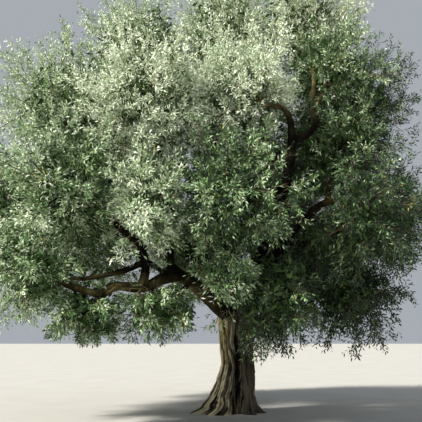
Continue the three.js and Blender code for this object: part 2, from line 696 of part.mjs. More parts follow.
/** One mass of foliage: stem, branchlets, blades and core, joined. */
function growMass(mass) {
  const stem = stemOf(mass);
  const stemRoot = STEM_THIN * mass.thick[1];
  const stemRadius = (share) => THREE.MathUtils.lerp(stemRoot, TWIG_THICK[0], share);
  const parts = [solidOf(skin(tubeRings(stem, stemRadius, outwardOf(mass), 5, 3))), heartOf(mass)];
  const grown = [];
  /** Adds a spray to those that have grown, if it fits and stands apart from them. */
  const claim = (spray) => {
    const middle = spray.root.clone().addScaledVector(spray.way, spray.long / 2);
    const apart = grown.every((other) => other.distanceTo(middle) > BLADES_APART * spray.long);
    if (!apart || !bladeFits(mass, spray)) return false;
    grown.push(middle);
    return true;
  };
  for (let i = 0; i < BRANCHLETS; i += 1) {
    const branchlet = branchletOf(mass, stem, i);
    const last = sprayOf(mass, i, branchlet, SPRAYS - 1);
    const line = TWIG_TESTS.map((share) => along(branchlet.line, share));
    if (!line.every((point) => fits(mass, point, TWIG_THICK[0], mass)) || !claim(last)) continue;
    parts.push(solidOf(branchletSkin(branchlet, last)));
    const side = SIDE_SPRAYS.map((j) => sprayOf(mass, i, branchlet, j)).find(claim);
    if (side) parts.push(solidOf(bladeSkin(side)));
  }
  return wasm.Manifold.union(parts);
}

// The tree

const tree = new THREE.Group();
const trunk = solidOf(trunkSkin());
tree.add(meshOf("trunk", trunk, BARK));

const limbCutters = {};
const grownLimbs = [solidOf(trunkSkin(CLEAR))];
for (const mass of masses) {
  let limb = solidOf(limbSkinOf(mass));
  for (const grown of grownLimbs) limb = limb.subtract(grown);
  tree.add(meshOf(mass.limb, limb, BARK));
  grownLimbs.push(solidOf(limbSkinOf(mass, CLEAR)));
  limbCutters[mass.limb] = solidOf(limbSkinOf(mass, TWIG_CLEAR));
}
for (const mass of masses) tree.add(meshOf(mass.mass, growMass(mass), LEAVES));

export default tree;
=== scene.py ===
# %% [markdown]
# # An old olive tree
#
# The scene shows a large garden olive tree that is rooted in the ground: a short, fluted trunk
# with a wide root flare, long spreading boughs and a broad crown of small silvery leaves.
#
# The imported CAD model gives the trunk, the limbs and the place of every mass of foliage. Here the
# trunk and limbs get a mesh with the relief of bark, and the masses are grown again by the same
# seeded rule, carried on to fine twigs and single leaves. Leaves could also be scattered over the
# masses at random, but a real tree grows by a rule: each year's shoots leave the older twigs, and
# leaves stand in pairs on the youngest shoots only.

import bpy
import numpy as np
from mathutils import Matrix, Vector


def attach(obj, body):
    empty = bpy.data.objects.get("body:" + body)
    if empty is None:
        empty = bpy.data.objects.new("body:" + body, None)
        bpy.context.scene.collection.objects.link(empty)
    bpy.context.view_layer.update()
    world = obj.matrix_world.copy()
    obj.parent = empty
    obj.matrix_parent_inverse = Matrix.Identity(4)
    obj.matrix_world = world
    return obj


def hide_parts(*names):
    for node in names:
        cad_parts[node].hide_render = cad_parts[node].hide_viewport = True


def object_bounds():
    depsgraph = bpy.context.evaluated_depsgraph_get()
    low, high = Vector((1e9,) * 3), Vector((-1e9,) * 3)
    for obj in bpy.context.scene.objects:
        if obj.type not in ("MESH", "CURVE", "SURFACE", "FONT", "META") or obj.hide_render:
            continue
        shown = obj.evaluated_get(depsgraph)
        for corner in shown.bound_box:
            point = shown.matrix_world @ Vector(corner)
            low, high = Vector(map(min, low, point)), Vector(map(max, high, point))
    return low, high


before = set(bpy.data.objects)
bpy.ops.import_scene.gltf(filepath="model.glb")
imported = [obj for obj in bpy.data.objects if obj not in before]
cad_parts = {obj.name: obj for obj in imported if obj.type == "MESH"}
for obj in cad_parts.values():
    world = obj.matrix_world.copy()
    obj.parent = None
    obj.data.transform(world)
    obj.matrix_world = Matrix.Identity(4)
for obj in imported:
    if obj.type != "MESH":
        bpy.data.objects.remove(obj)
cad_low, cad_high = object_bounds()
print("the CAD model is", [round(side, 2) for side in cad_high - cad_low], "m")

# %% [markdown]
# ## Curves and chance
#
# These are the source's own helpers, written for arrays. Every limb and twig is a smooth curve
# through a few points, and every choice in the growth comes from one repeatable number, so that
# the twigs here leave the limbs exactly where the CAD solids do. Blender's curve objects and
# Python's random numbers could do both, but they wouldn't give the source's places.

# %% Curves and chance
SEED = 1907
TURN = 2 * np.pi
UP = np.array([0.0, 0.0, 1.0])
BITS, MOVE = np.uint64(0xFFFFFFFF), np.uint64(0x9E3779B9)
FACTORS, FOLDS = np.array([0x85EBCA6B, 0xC2B2AE35], np.uint64), np.array([13, 16], np.uint64)


def chance(*keys):
    """A repeatable number from 0 to 1 for whole numbers or arrays of them. For each key the bits
    are crossed with it, moved on, multiplied and folded, as the source does with 32 bits."""
    mixed = np.uint64(SEED)
    for key in keys:
        key = np.asarray(key).astype(np.int64).astype(np.uint64) & BITS
        mixed = ((mixed ^ key) + MOVE) & BITS
        mixed = mixed * FACTORS[0] & BITS
        mixed = (mixed ^ (mixed >> FOLDS[0])) * FACTORS[1] & BITS
        mixed = mixed ^ (mixed >> FOLDS[1])
    return mixed / 2.0**32


def unit(ways):
    """The same directions with length 1."""
    return ways / np.maximum(np.linalg.norm(ways, axis=-1, keepdims=True), 1e-9)


def square_to(way):
    """Two directions square to each given one and to each other. The first is also square to up,
    or to the X axis where the given one is nearly upright."""
    lean = np.where(np.abs(way[..., 2:]) < 0.9, UP, [1.0, 0.0, 0.0])
    first = unit(np.cross(lean, way))
    return first, np.cross(way, first)


def along(points, share):
    """The point at each share from 0 to 1 of a curve through all its points: with the points
    a, b, c, d round a place and t from b to c, half of
    a(-t + 2t^2 - t^3) + b(2 - 5t^2 + 3t^3) + c(t + 4t^2 - 3t^3) + d(t^3 - t^2).
    Past its ends the curve is mirrored. points is (count, 3), or (count, curves, 3) with one
    share for each curve."""
    points = np.asarray(points, float)
    share = np.asarray(share, float)
    points = np.concatenate([2 * points[:1] - points[1:2], points, 2 * points[-1:] - points[-2:-1]])
    spans = len(points) - 3
    place = np.minimum(share, 1) * spans
    i = np.minimum(place.astype(int), spans - 1)
    t = (place - i)[..., None]
    column = (np.arange(points.shape[1]),) if points.ndim == 3 else ()
    a, b, c, d = (points[(i + k, *column)] for k in range(4))
    return (a * (2 * t**2 - t - t**3) + b * (2 - 5 * t**2 + 3 * t**3)
            + c * (t + 4 * t**2 - 3 * t**3) + d * (t**3 - t**2)) / 2


def heading(points, share, step=0.004):
    """The curve's direction at each share, from a point a small step on either side."""
    share = np.asarray(share, float)
    ahead = along(points, np.minimum(share + step, 1))
    return unit(ahead - along(points, np.maximum(share - step, 0)))


print("chance gives", [round(float(chance(k, 1)), 3) for k in range(3)])

# %% [markdown]
# ## Limbs and masses
#
# One row is one limb and the mass of foliage at its end, with the same numbers as in the CAD
# source. The CAD solids could be measured instead, but the numbers that made them also say how the
# tree grew. `tone` is added here: it paints the light and shade of the foliage into the colour of
# its leaves. On a real olive tree that comes from the light: the sunlit top looks silver, the sides
# sage green, and the shaded skirt on the right deep green.

# %% The table of limbs and masses
# In millimetres: the limb, what it leaves and at which share of it, its radius at both ends and the
# points that it goes through; then its mass, the centre and reach of that, how flat it is, how
# much its shoots rise (1) or hang (-1), and its tone of painted light and shade, from deep green
# in painted shade (0 or less) to pale in painted sunlight (1.6)
COLUMNS = ("limb", "on", "at", "thick", "via", "mass", "centre", "reach", "flat", "lift", "tone")
TABLE = [
    ("left_bough", "trunk", 0.93, (138, 42),
     [(-330, -300, 1945), (-860, -1040, 2365), (-1190, -1350, 2330), (-1530, -1650, 2165),
      (-1953, -1800, 2173), (-2179, -1900, 2050), (-2700, -2070, 2190)],
     "left_low", (-3500, -1200, 2600), 1280, 1, -0.3, 0.66),
    ("left_upright", "left_bough", 0.5, (78, 42),
     [(-1475, -1700, 2510), (-1574, -1800, 2858), (-1800, -1900, 3040)],
     "left_front", (-2700, -2000, 3800), 1480, 1, 0.25, 0.62),
    ("left_arm", "left_upright", 0.3, (46, 32),
     [(-1774, -1800, 2441), (-2091, -1880, 2350), (-2455, -1980, 2281)],
     "left_outer", (-3000, -2250, 2350), 900, 0.9, -0.3, 0.5),
    ("middle_limb", "left_bough", 0.34, (72, 38), [(-1080, -1520, 2720)],
     "middle_front", (-1350, -2250, 3450), 1350, 1, 0.1, 0.94),
    ("left_hanging_limb", "left_bough", 0.6, (36, 24), [(-2010, -1960, 2070)],
     "left_hanging", (-2350, -2050, 1770), 950, 0.6, -0.7, 0.4),
    ("middle_hanging_limb", "left_bough", 0.22, (48, 28), [(-840, -1300, 2190)],
     "middle_hanging", (-1280, -2000, 1900), 1000, 0.68, -0.7, 0.35),
    ("upper_bough", "trunk", 0.96, (132, 36),
     [(238, -400, 2260), (496, -1000, 3040), (799, -1500, 3770), (955, -1740, 4400),
      (938, -1850, 4900), (822, -1890, 5146)],
     "centre_top", (0, -1300, 5600), 1600, 1, 0.35, 1.30),
    ("upper_right_limb", "upper_bough", 0.63, (58, 32),
     [(1200, -1800, 4700), (1371, -1800, 4930), (1305, -1770, 5200), (1390, -1640, 5750)],
     "top_right", (1450, -500, 7300), 1550, 1, 0.5, 1.60),
    ("upper_side_limb", "upper_right_limb", 0.55, (34, 26), [(1480, -1600, 5400)],
     "upper_right", (1700, -1200, 6050), 1300, 1, 0.3, 0.52),
    ("centre_low_limb", "upper_bough", 0.08, (58, 32), [(60, -800, 2160)],
     "centre_low", (-60, -2150, 2350), 1050, 1, -0.5, 0.5),
    ("centre_limb", "upper_bough", 0.17, (74, 38), [(60, -1000, 2780)],
     "centre_front", (-80, -2250, 3550), 1480, 1, -0.1, 0.30),
    ("right_bough", "trunk", 0.92, (125, 46),
     [(533, -400, 2400), (913, -850, 3050), (1274, -1150, 3438), (1660, -1290, 3680)],
     "right_end", (2750, -600, 3550), 1400, 1, -0.2, 0.14),
    ("right_rising_limb", "right_bough", 0.79, (46, 32), [(1640, -1290, 3920)],
     "right_front", (2020, -1000, 4750), 1350, 1, 0.1, 0.34),
    ("right_second_limb", "right_bough", 0.4, (62, 34),
     [(1300, -1100, 2960), (1737, -1300, 3133), (1930, -1340, 3290)],
     "right_middle", (1980, -1900, 3150), 1250, 1, -0.5, -0.16),
    ("right_low_limb", "right_bough", 0.2, (62, 34), [(1050, -700, 2500)],
     "right_low", (1950, -1250, 2150), 1180, 1, -0.7, -0.34),
    ("right_hanging_limb", "trunk", 0.9, (66, 36), [(400, -650, 2080)],
     "right_hanging", (640, -1900, 1960), 1150, 0.95, -0.7, -0.15),
    ("crown_bough", "trunk", 0.97, (165, 48),
     [(-60, 120, 2700), (-250, 200, 4000), (-700, 220, 5200)],
     "top_left", (-1800, 200, 7000), 1700, 1, 0.6, 0.94),
    ("left_high_bough", "crown_bough", 0.38, (82, 42), [(-480, -350, 3750), (-850, -850, 4350)],
     "middle_top", (-1450, -1700, 5350), 1600, 1, 0.4, 1.36),
    ("left_top_limb", "crown_bough", 0.5, (78, 38), [(-1100, -50, 4650), (-1900, -350, 5150)],
     "left_top", (-3200, -600, 5650), 1650, 1, 0.6, 0.92),
    ("top_middle_limb", "crown_bough", 0.62, (66, 36), [(-250, 260, 5700)],
     "top_middle", (-50, 200, 7450), 1650, 1, 0.6, 1.25),
    ("back_top_limb", "crown_bough", 0.42, (68, 36), [(0, 800, 4500)],
     "back_top", (150, 2000, 5900), 1650, 1, 0.4, 0.6),
    ("rear_left_bough", "trunk", 0.94, (130, 46), [(-480, 450, 2230), (-1300, 950, 2620)],
     "back_left", (-2900, 1500, 3600), 1680, 1, -0.1, 0.5),
    ("left_end_limb", "rear_left_bough", 0.45, (72, 38), [(-1750, 500, 3150), (-2700, 50, 3450)],
     "left_end", (-4150, -300, 3850), 1480, 1, 0.1, 0.62),
    ("back_top_left_limb", "rear_left_bough", 0.64, (62, 36), [(-1650, 1350, 4250)],
     "back_top_left", (-2200, 1500, 5400), 1680, 1, 0.4, 0.7),
    ("rear_bough", "rear_left_bough", 0.2, (88, 42), [(-360, 1100, 2720)],
     "back_middle", (-750, 2400, 3350), 1600, 1, -0.1, 0.4),
    ("rear_right_bough", "trunk", 0.95, (135, 46), [(450, 450, 2450), (850, 1050, 2900)],
     "back_right", (1550, 2000, 3300), 1600, 1, -0.2, 0.35),
    ("right_high_bough", "rear_right_bough", 0.4, (88, 40), [(1150, 550, 3400), (1750, 400, 4550)],
     "right_top", (2350, 100, 6000), 1550, 1, 0.3, 0.12),
    ("back_top_right_limb", "right_high_bough", 0.4, (52, 32), [(1500, 950, 4150)],
     "back_top_right", (1900, 1650, 5200), 1550, 1, 0.3, 0.5),
    ("inner_limb", "rear_right_bough", 0.3, (54, 32), [(680, 280, 3050)],
     "inner", (900, 200, 4300), 1350, 1, 0.2, 0.15),
]
ROWS = [dict(zip(COLUMNS, row), index=index) for index, row in enumerate(TABLE)]
for row in ROWS:
    row["mass"] += "_foliage"
    row["centre"] = np.array(row["centre"], float)
print(len(ROWS), "limbs, each with a mass of foliage")

# %% [markdown]
# ## Curves and walls
#
# The CAD solids of two masses never cross, because each keeps to its own side of a flat wall
# between them, as two real boughs share out the light. A limb starts on the curve of the one that
# carries it and ends a little inside its own mass.

# %% Curves and walls
CROWN_HEART = np.array([-300.0, 100.0, 4200.0])  # what every mass grows away from
FORK_HEIGHT = 1760
TRUNK_AXIS = np.array([[62.0, 0, 0], [84, 0, 900], [60, -10, FORK_HEIGHT]])
ENTRY, LAST_LEG = 0.74, 0.8  # shares of the room and of the last leg at which a limb ends
TAPER, COLLAR, COLLAR_SHARE = 1.15, 0.3, 0.12  # a power, and how high and how long a collar is
WALL_CLEAR = 12  # from a mass to a wall


def walls_of(mass):
    """The flat walls between a mass and those near it. With a and b for the two reaches and d for
    the distance of the centres, the wall is at (d^2 + a^2 - b^2) / 2d."""
    walls = []
    for other in ROWS:
        gap = other["centre"] - mass["centre"]
        apart = np.linalg.norm(gap)
        if other is not mass and apart <= mass["reach"] + other["reach"]:
            distance = (apart**2 + mass["reach"] ** 2 - other["reach"] ** 2) / (2 * apart)
            walls.append((gap / apart, distance - WALL_CLEAR))
    return walls


def room(mass, way, over=0.0):
    """How far a mass may grow from its centre in each direction: its reach, or to the nearest
    wall and as far over it as is said."""
    far = mass["reach"] / np.linalg.norm(way / [1, 1, mass["flat"]], axis=-1)
    for normal, distance in mass["walls"]:
        toward = way @ normal
        to_wall = (distance + over) / np.maximum(toward, 1e-9)
        far = np.where(toward > 0, np.minimum(far, to_wall), far)
    return far


def limb_radius(row, share):
    """A limb's radius: it tapers by (1 - share)^1.15 from its base to its end, with a collar where
    it leaves that fades as e to the minus share / 0.12."""
    base, end = row["thick"]
    return end + (base - end) * (1 - share) ** TAPER + COLLAR * base * np.exp(-share / COLLAR_SHARE)


curves = {"trunk": TRUNK_AXIS}
for row in ROWS:
    row["walls"] = walls_of(row)
    row["outward"] = unit(row["centre"] - CROWN_HEART)
    via = np.array(row["via"], float)
    last_leg = np.linalg.norm(via[-1] - row["centre"])
    inward = unit(via[-1] - row["centre"])
    tip = row["centre"] + inward * min(LAST_LEG * last_leg, ENTRY * room(row, inward))
    start = along(curves[row["on"]], row["at"])
    row["curve"] = curves[row["limb"]] = np.vstack([start, via, tip])
print("the longest curve has", max(len(row["curve"]) for row in ROWS), "points")

# %% [markdown]
# ## Clear of the limbs
#
# Twigs and leaves grow beside a limb and never through it. Blender can look for the nearest point
# of a mesh, but a row of balls along each limb, like beads on a string, is quicker to test against
# hundreds of thousands of points at once.

# %% Clear of the limbs
BEADS = 40  # to a limb
OWN_END = 0.9  # from this share on, a limb doesn't keep its own mass off
NEAR_MASS = 250  # a limb further than this from a mass isn't looked at
bead_shares = np.arange(BEADS + 1) / BEADS
beads = {
    "point": np.concatenate([along(row["curve"], bead_shares) for row in ROWS]),
    "radius": np.concatenate([limb_radius(row, bead_shares) for row in ROWS]),
    "limb": np.repeat(np.arange(len(ROWS)), BEADS + 1),
    "share": np.tile(bead_shares, len(ROWS)),
}


def off_limbs(mass, points, radius):
    """Whether a ball round each point stays off every limb; the mass's own limb is let be at
    its tip, because growth starts there."""
    far = np.linalg.norm(beads["point"] - mass["centre"], axis=1) > mass["reach"] + NEAR_MASS
    own = (beads["limb"] == mass["index"]) & (beads["share"] > OWN_END)
    near, wide = beads["point"][~far & ~own], beads["radius"][~far & ~own]
    clear = np.ones(len(points), bool)
    for point, thick in zip(near, wide):
        clear &= ((points - point) ** 2).sum(1) > (thick + radius) ** 2
    return clear


print(len(beads["point"]), "beads stand for the limbs")

# %% [markdown]
# ## Open before the boughs
#
# The photo shows the main boughs through gaps in the front of the crown, as where the inside of an
# old tree has been cleared, so most of what would hang between the eye and those boughs is left
# out. Leaves could be deleted by hand, but a test of each one's line of sight does it for any
# number of them.

# %% Open before the boughs
EYE = np.array([-402.0, -12300.0, 1480.0])  # the camera's place
WINDOWS = [  # the limbs that show, each from one share of it to another
    ("left_bough", 0.03, 0.88), ("left_upright", 0.1, 0.85), ("left_arm", 0.1, 0.9),
    ("upper_bough", 0.42, 0.9), ("upper_right_limb", 0.05, 0.55), ("right_bough", 0.6, 0.8),
    ("right_rising_limb", 0.1, 0.5), ("right_second_limb", 0.5, 0.72),
]
PANES, WINDOW_MARGIN = 30, 4  # how many to a window, and how far past the edge of the limb
rows_by_limb = {row["limb"]: row for row in ROWS}
panes = []
for name, first, last in WINDOWS:
    shares = np.linspace(first, last, PANES)
    seen = along(curves[name], shares) - EYE
    panes.append(np.column_stack([seen, limb_radius(rows_by_limb[name], shares)]))
panes = np.concatenate(panes)


def off_windows(points, radius):
    """Whether a ball round each point hides none of the limbs that show at the front: seen from
    the eye, the limb's middle is further beside it than the two radii together."""
    sight = points - EYE
    near = np.linalg.norm(sight, axis=1)[:, None]
    seen, half = panes[:, :3], panes[:, 3] + WINDOW_MARGIN
    far = np.linalg.norm(seen, axis=1)
    forward = (sight / near) @ seen.T
    beside = np.sqrt(np.maximum(far**2 - forward**2, 0))
    return ~((near < far) & (beside < half + radius * far / near)).any(1)


print(len(panes), "places of the limbs have to show")

# %% [markdown]
# ## Within its own mass
#
# In a real crown the leaves of neighbouring boughs mingle where they meet, so growth may cross the
# wall a little. Solid shapes could be cut at the wall instead, but that leaves straight seams.

# %% Within its own mass
MM = 0.001  # the growth is worked out in millimetres, and Blender's unit is the metre
MINGLE = 230  # how far leaves grow over a wall
OVER_BOX = 140  # how far they grow out of the CAD model's box
BOX_LOW, BOX_HIGH = np.array(cad_low) / MM - OVER_BOX, np.array(cad_high) / MM + OVER_BOX


def within(mass, points):
    """Whether each point lies in the mass's own space, or so little over the wall to the next one
    that the leaves of the two mingle, and at most a little outside the CAD model's box."""
    off = points - mass["centre"]
    in_box = ((points > BOX_LOW) & (points < BOX_HIGH)).all(1)
    return (np.linalg.norm(off, axis=1) < room(mass, unit(off), MINGLE)) & in_box


print("leaves may grow", OVER_BOX, "mm out of the box")

# %% [markdown]
# ## Stems and branchlets
#
# In every mass a stem goes on from the limb's tip, and branchlets leave it in an even spiral.
# Directions could be drawn by chance alone, but that leaves bald patches. The first branchlets are
# the source's own; the finer ones in between follow the same rule with keys of their own, all the
# way round, and reach less far or further by chance, so that the mass has depth and a loose edge.

# %% Stems and branchlets
GOLDEN_TURN = TURN * 0.381966  # from one twig to the next, which spreads them most evenly
STEM_GAP, STEM_PAST_CENTRE, STEM_BEND = 0.3, 0.2, 0.35  # clear of the tip, and two shares
STEM_BARE, STEM_GROWN = 0.3, 0.65  # branchlets leave the stem from the first share, over the second
BRANCHLETS, BACK_SHARE = 8, 0.3  # the source's own, and how far round the back they go
FINER_PER_AREA, FINER_BACK_SHARE = 21, 1.0  # for each square metre of the reach squared
FINER_KEYS, FINER_KEY = 100, 11  # so that the finer ones get choices of their own
BRANCHLET_REACH, FINER_REACH = 0.68, (0.4, 0.95)
BRANCHLET_SAG, BRANCHLET_SWING = 0.12, 0.1  # of its length, down and along the stem
BRANCHLET_CHECKS, BRANCHLET_CLEAR = (0.1, 0.3, 0.5, 0.7, 0.85, 1.0), 20


def stem_of(mass):
    """The limb's tip, a bend, and an end past the mass's centre."""
    away = heading(mass["curve"], 1.0)
    root = mass["curve"][-1] + STEM_GAP * away
    end = mass["centre"] + mass["outward"] * STEM_PAST_CENTRE * room(mass, mass["outward"])
    bend = root + away * STEM_BEND * np.linalg.norm(end - root)
    return np.stack([root, bend, end])


def between(limits, share):
    """The number at a share of the way between two limits."""
    return limits[0] + (limits[1] - limits[0]) * share


def branchlets_of(mass, finer):
    """The direction and the bent line of every branchlet. In the source's even spiral the height
    falls in even steps, and the angle grows by the golden turn."""
    count = int(FINER_PER_AREA * (mass["reach"] * MM) ** 2) if finer else BRANCHLETS
    i, index, stem = np.arange(count), mass["index"], mass["stem"]
    keys = i + FINER_KEYS if finer else i
    first, second = square_to(mass["outward"])
    height = 1 - (i + 0.5) / count * (1 + (FINER_BACK_SHARE if finer else BACK_SHARE))
    angle = i * GOLDEN_TURN + TURN * chance(index, FINER_KEY if finer else 1)
    out = np.sqrt(1 - height**2)
    way = unit(np.outer(height, mass["outward"]) + np.outer(out * np.cos(angle), first)
               + np.outer(out * np.sin(angle), second))
    reach = between(FINER_REACH, chance(index, keys, 8)) if finer else BRANCHLET_REACH
    start = along(stem, STEM_BARE + STEM_GROWN * chance(index, keys, 2))
    end = mass["centre"] + way * (reach * room(mass, way))[:, None]
    long = np.linalg.norm(end - start, axis=1)[:, None]
    bend = (start + end) / 2 - UP * BRANCHLET_SAG * mass["lift"] * long
    bend = bend + heading(stem, 0.5) * BRANCHLET_SWING * long
    line = np.stack([start, bend, end])
    clear = np.ones(count, bool)
    for share in BRANCHLET_CHECKS:
        point = along(line, np.full(count, share))
        clear &= off_limbs(mass, point, BRANCHLET_CLEAR) & within(mass, point)
    return way[clear], line[:, clear], keys[clear]


for mass in ROWS:
    mass["stem"] = stem_of(mass)
    mass["branchlets"] = [branchlets_of(mass, finer) for finer in (False, True)]
branchlet_lines = np.concatenate([grown[1] for mass in ROWS for grown in mass["branchlets"]], axis=1)
print(branchlet_lines.shape[1], "branchlets")

# %% [markdown]
# ## Sprays
#
# A spray is the last season's growth on a branchlet. Sprays stand all round it in the same golden
# turn, and each leans forward along the branchlet and outwards, to where the light is. Growing
# them from buds step by step would be truer still, but the outcome looks the same.

# %% Sprays
SPRAYS, FIRST_SPRAY = 7, 0.4  # on a branchlet, and the share of it where they start
FORWARD, ASIDE, ASIDE_AT_TIP, OUTWARD, LIFT = 0.55, 0.85, 0.15, 0.5, 0.6  # how much each counts
SPRAY_LENGTH, FINER_LENGTH = (0.27, 0.32), (0.18, 0.3)  # shares of the room, and of the reach


def sprays_of(mass, way, line, keys, finer):
    """Where each spray of a branchlet starts, its direction, length and roll, and two numbers by
    chance for the colour of its leaves."""
    count = len(keys)
    j = np.tile(np.arange(SPRAYS), count)
    way, line, keys = np.repeat(way, SPRAYS, 0), np.repeat(line, SPRAYS, 1), np.repeat(keys, SPRAYS)
    share = FIRST_SPRAY + (1 - FIRST_SPRAY) * j / (SPRAYS - 1)
    forward = heading(line, share)
    first, second = square_to(forward)
    angle = (j * GOLDEN_TURN + TURN * chance(mass["index"], keys, 3))[:, None]
    aside = np.where(j == SPRAYS - 1, ASIDE_AT_TIP, ASIDE)[:, None]
    turned = aside * (np.cos(angle) * first + np.sin(angle) * second)
    spray_way = unit(FORWARD * forward + turned + OUTWARD * way + UP * LIFT * mass["lift"])
    size = between(FINER_LENGTH if finer else SPRAY_LENGTH, chance(mass["index"], keys, j, 4))
    size = size * (mass["reach"] if finer else room(mass, way))
    return {
        "root": along(line, share), "way": spray_way, "long": size,
        "roll": TURN * chance(mass["index"], keys, j, 5),
        "luck": chance(mass["index"], keys, j, 6), "odd": chance(mass["index"], keys, j, 7),
    }


def joined(parts):
    """Several tables of arrays as one."""
    return {key: np.concatenate([part[key] for part in parts]) for key in parts[0]}


for mass in ROWS:
    own, finer = mass["branchlets"]
    mass["sprays"] = joined([sprays_of(mass, *own, False), sprays_of(mass, *finer, True)])
print(sum(len(mass["sprays"]["long"]) for mass in ROWS), "sprays")

# %% [markdown]
# ## Shoots
#
# A spray is one shoot and a few shorter ones beside it, all in the plane in which the CAD blade
# lies. Young olive shoots are thin and whippy: those of the sunlit top turn up, and those of the
# lower half hang under the weight of their leaves. A cloth or hair simulation could bend them; a
# sag that grows with the square of the way along looks the same at this size and costs nothing.

# %% Shoots
SIDE_SHOOTS = [(0.16, 1, 0.6), (0.36, -1, 0.54), (0.56, 1, 0.46)]  # where, which side, how long
SIDE_SPREAD, SIDE_LIFT, SHOOT_SAG, SHOOT_WANDER = 0.62, 0.15, 0.22, 0.12
SHORTER = 0.6  # what is left of a shoot that would leave its mass
LIMB_CLEAR, HIDING = 12, 20  # radii of the balls that stay off limbs, and that would hide them
KEPT_BEFORE_LIMBS = 0.2  # the share of shoots and leaves that may still hang before a bough
dice = np.random.default_rng(SEED)


def shoots_of(mass):
    """Every shoot of a mass: root, direction, length, sag, roll, and the spray that it is of."""
    spray = mass["sprays"]
    first, second = square_to(spray["way"])
    roll = spray["roll"][:, None]
    across = np.cos(roll) * first + np.sin(roll) * second
    long = spray["long"][:, None]
    number = np.arange(len(long))
    shoots = [{"root": spray["root"], "way": spray["way"], "long": spray["long"],
               "roll": spray["roll"], "spray": number, "main": np.ones(len(long), bool)}]
    for share, side, size in SIDE_SHOOTS:
        way = unit(spray["way"] + side * SIDE_SPREAD * across + UP * SIDE_LIFT * mass["lift"])
        shoots.append({"root": spray["root"] + spray["way"] * share * long, "way": way,
                       "long": size * spray["long"], "roll": spray["roll"] + side + share,
                       "spray": number, "main": np.zeros(len(long), bool)})
    made = joined(shoots)
    made["sag"] = made["long"][:, None] * (
        UP * SHOOT_SAG * mass["lift"] + SHOOT_WANDER * dice.normal(size=made["way"].shape))
    tip = lambda: made["root"] + made["way"] * made["long"][:, None] + made["sag"]
    shortening = np.where(within(mass, tip()), 1, SHORTER)
    made["long"] = shortening * made["long"]
    made["sag"] *= shortening[:, None]
    middle = made["root"] + made["way"] * made["long"][:, None] / 2
    fits = within(mass, tip()) & off_limbs(mass, tip(), LIMB_CLEAR)
    fits &= off_limbs(mass, middle, LIMB_CLEAR)
    hides = ~off_windows(middle, HIDING) & (dice.random(len(fits)) > KEPT_BEFORE_LIMBS)
    return {key: value[fits & ~hides] for key, value in made.items()}


for mass in ROWS:
    mass["shoots"] = shoots_of(mass)
print(sum(len(mass["shoots"]["long"]) for mass in ROWS), "shoots")

# %% [markdown]
# ## Leaves
#
# Olive leaves stand in opposite pairs along the shoot, each pair turned a quarter from the last,
# and turn their upper side to the light. A leaf is narrow, widest in the middle and slightly
# folded and curled. It could be a flat picture with a cut-out, but then its edge would be a
# picture too; here it is a kite of two faces, bent across its widest line. It is a little larger
# than life, because about a third of a million leaves have to fill the whole crown.

# %% Leaves
PAIR_GAP, LEAF_LONG, LEAF_WIDE = 53, (75, 108), 0.29  # the width is a share of the length
LEAF_STALK, LEAF_WIDEST, LEAF_FOLD, LEAF_CURL = 0.08, 0.46, 0.06, 0.1  # and so are these
LEAFLESS, PAIR_SHIFT = 0.12, 0.3  # the bare start of a shoot, and how far leaves are out of step
LEAF_FORWARD, LEAF_ASIDE, LEAF_TO_TIP = 0.7, 0.85, 0.45  # the last makes the angle close up
LEAF_WANDER, LEAF_LIFT = 0.18, 0.12
TO_LIGHT, TO_OUTSIDE, TO_ANYWHERE = 0.55, 0.35, 0.45  # what a leaf's upper side turns to
LONG_AT_BASE, LESS_AT_TIP = 1.05, 0.3  # leaves get shorter towards a shoot's tip
LIGHT_WAY = unit(np.array([-0.72, -0.34, 0.66]))  # to the sun
SPRAY_TONES, LEAF_TONES = 0.7, 0.26  # how much the tone differs from spray to spray and in one
OLD_SPRAYS, OLD_THERE, OLD_ELSEWHERE, OLD_TONE = 0.03, 0.09, 0.002, -1  # shares, and a tone


def leaf_corners(root, way, normal, long, wide):
    """The four corners of each leaf: stalk end, left, right and tip."""
    across = np.cross(way, normal)
    long, wide = long[:, None], wide[:, None]
    middle = root + way * LEAF_WIDEST * long + normal * LEAF_FOLD * long
    tip = root + way * long - normal * LEAF_CURL * long
    return np.stack([root, middle + across * wide / 2, middle - across * wide / 2, tip], axis=1)


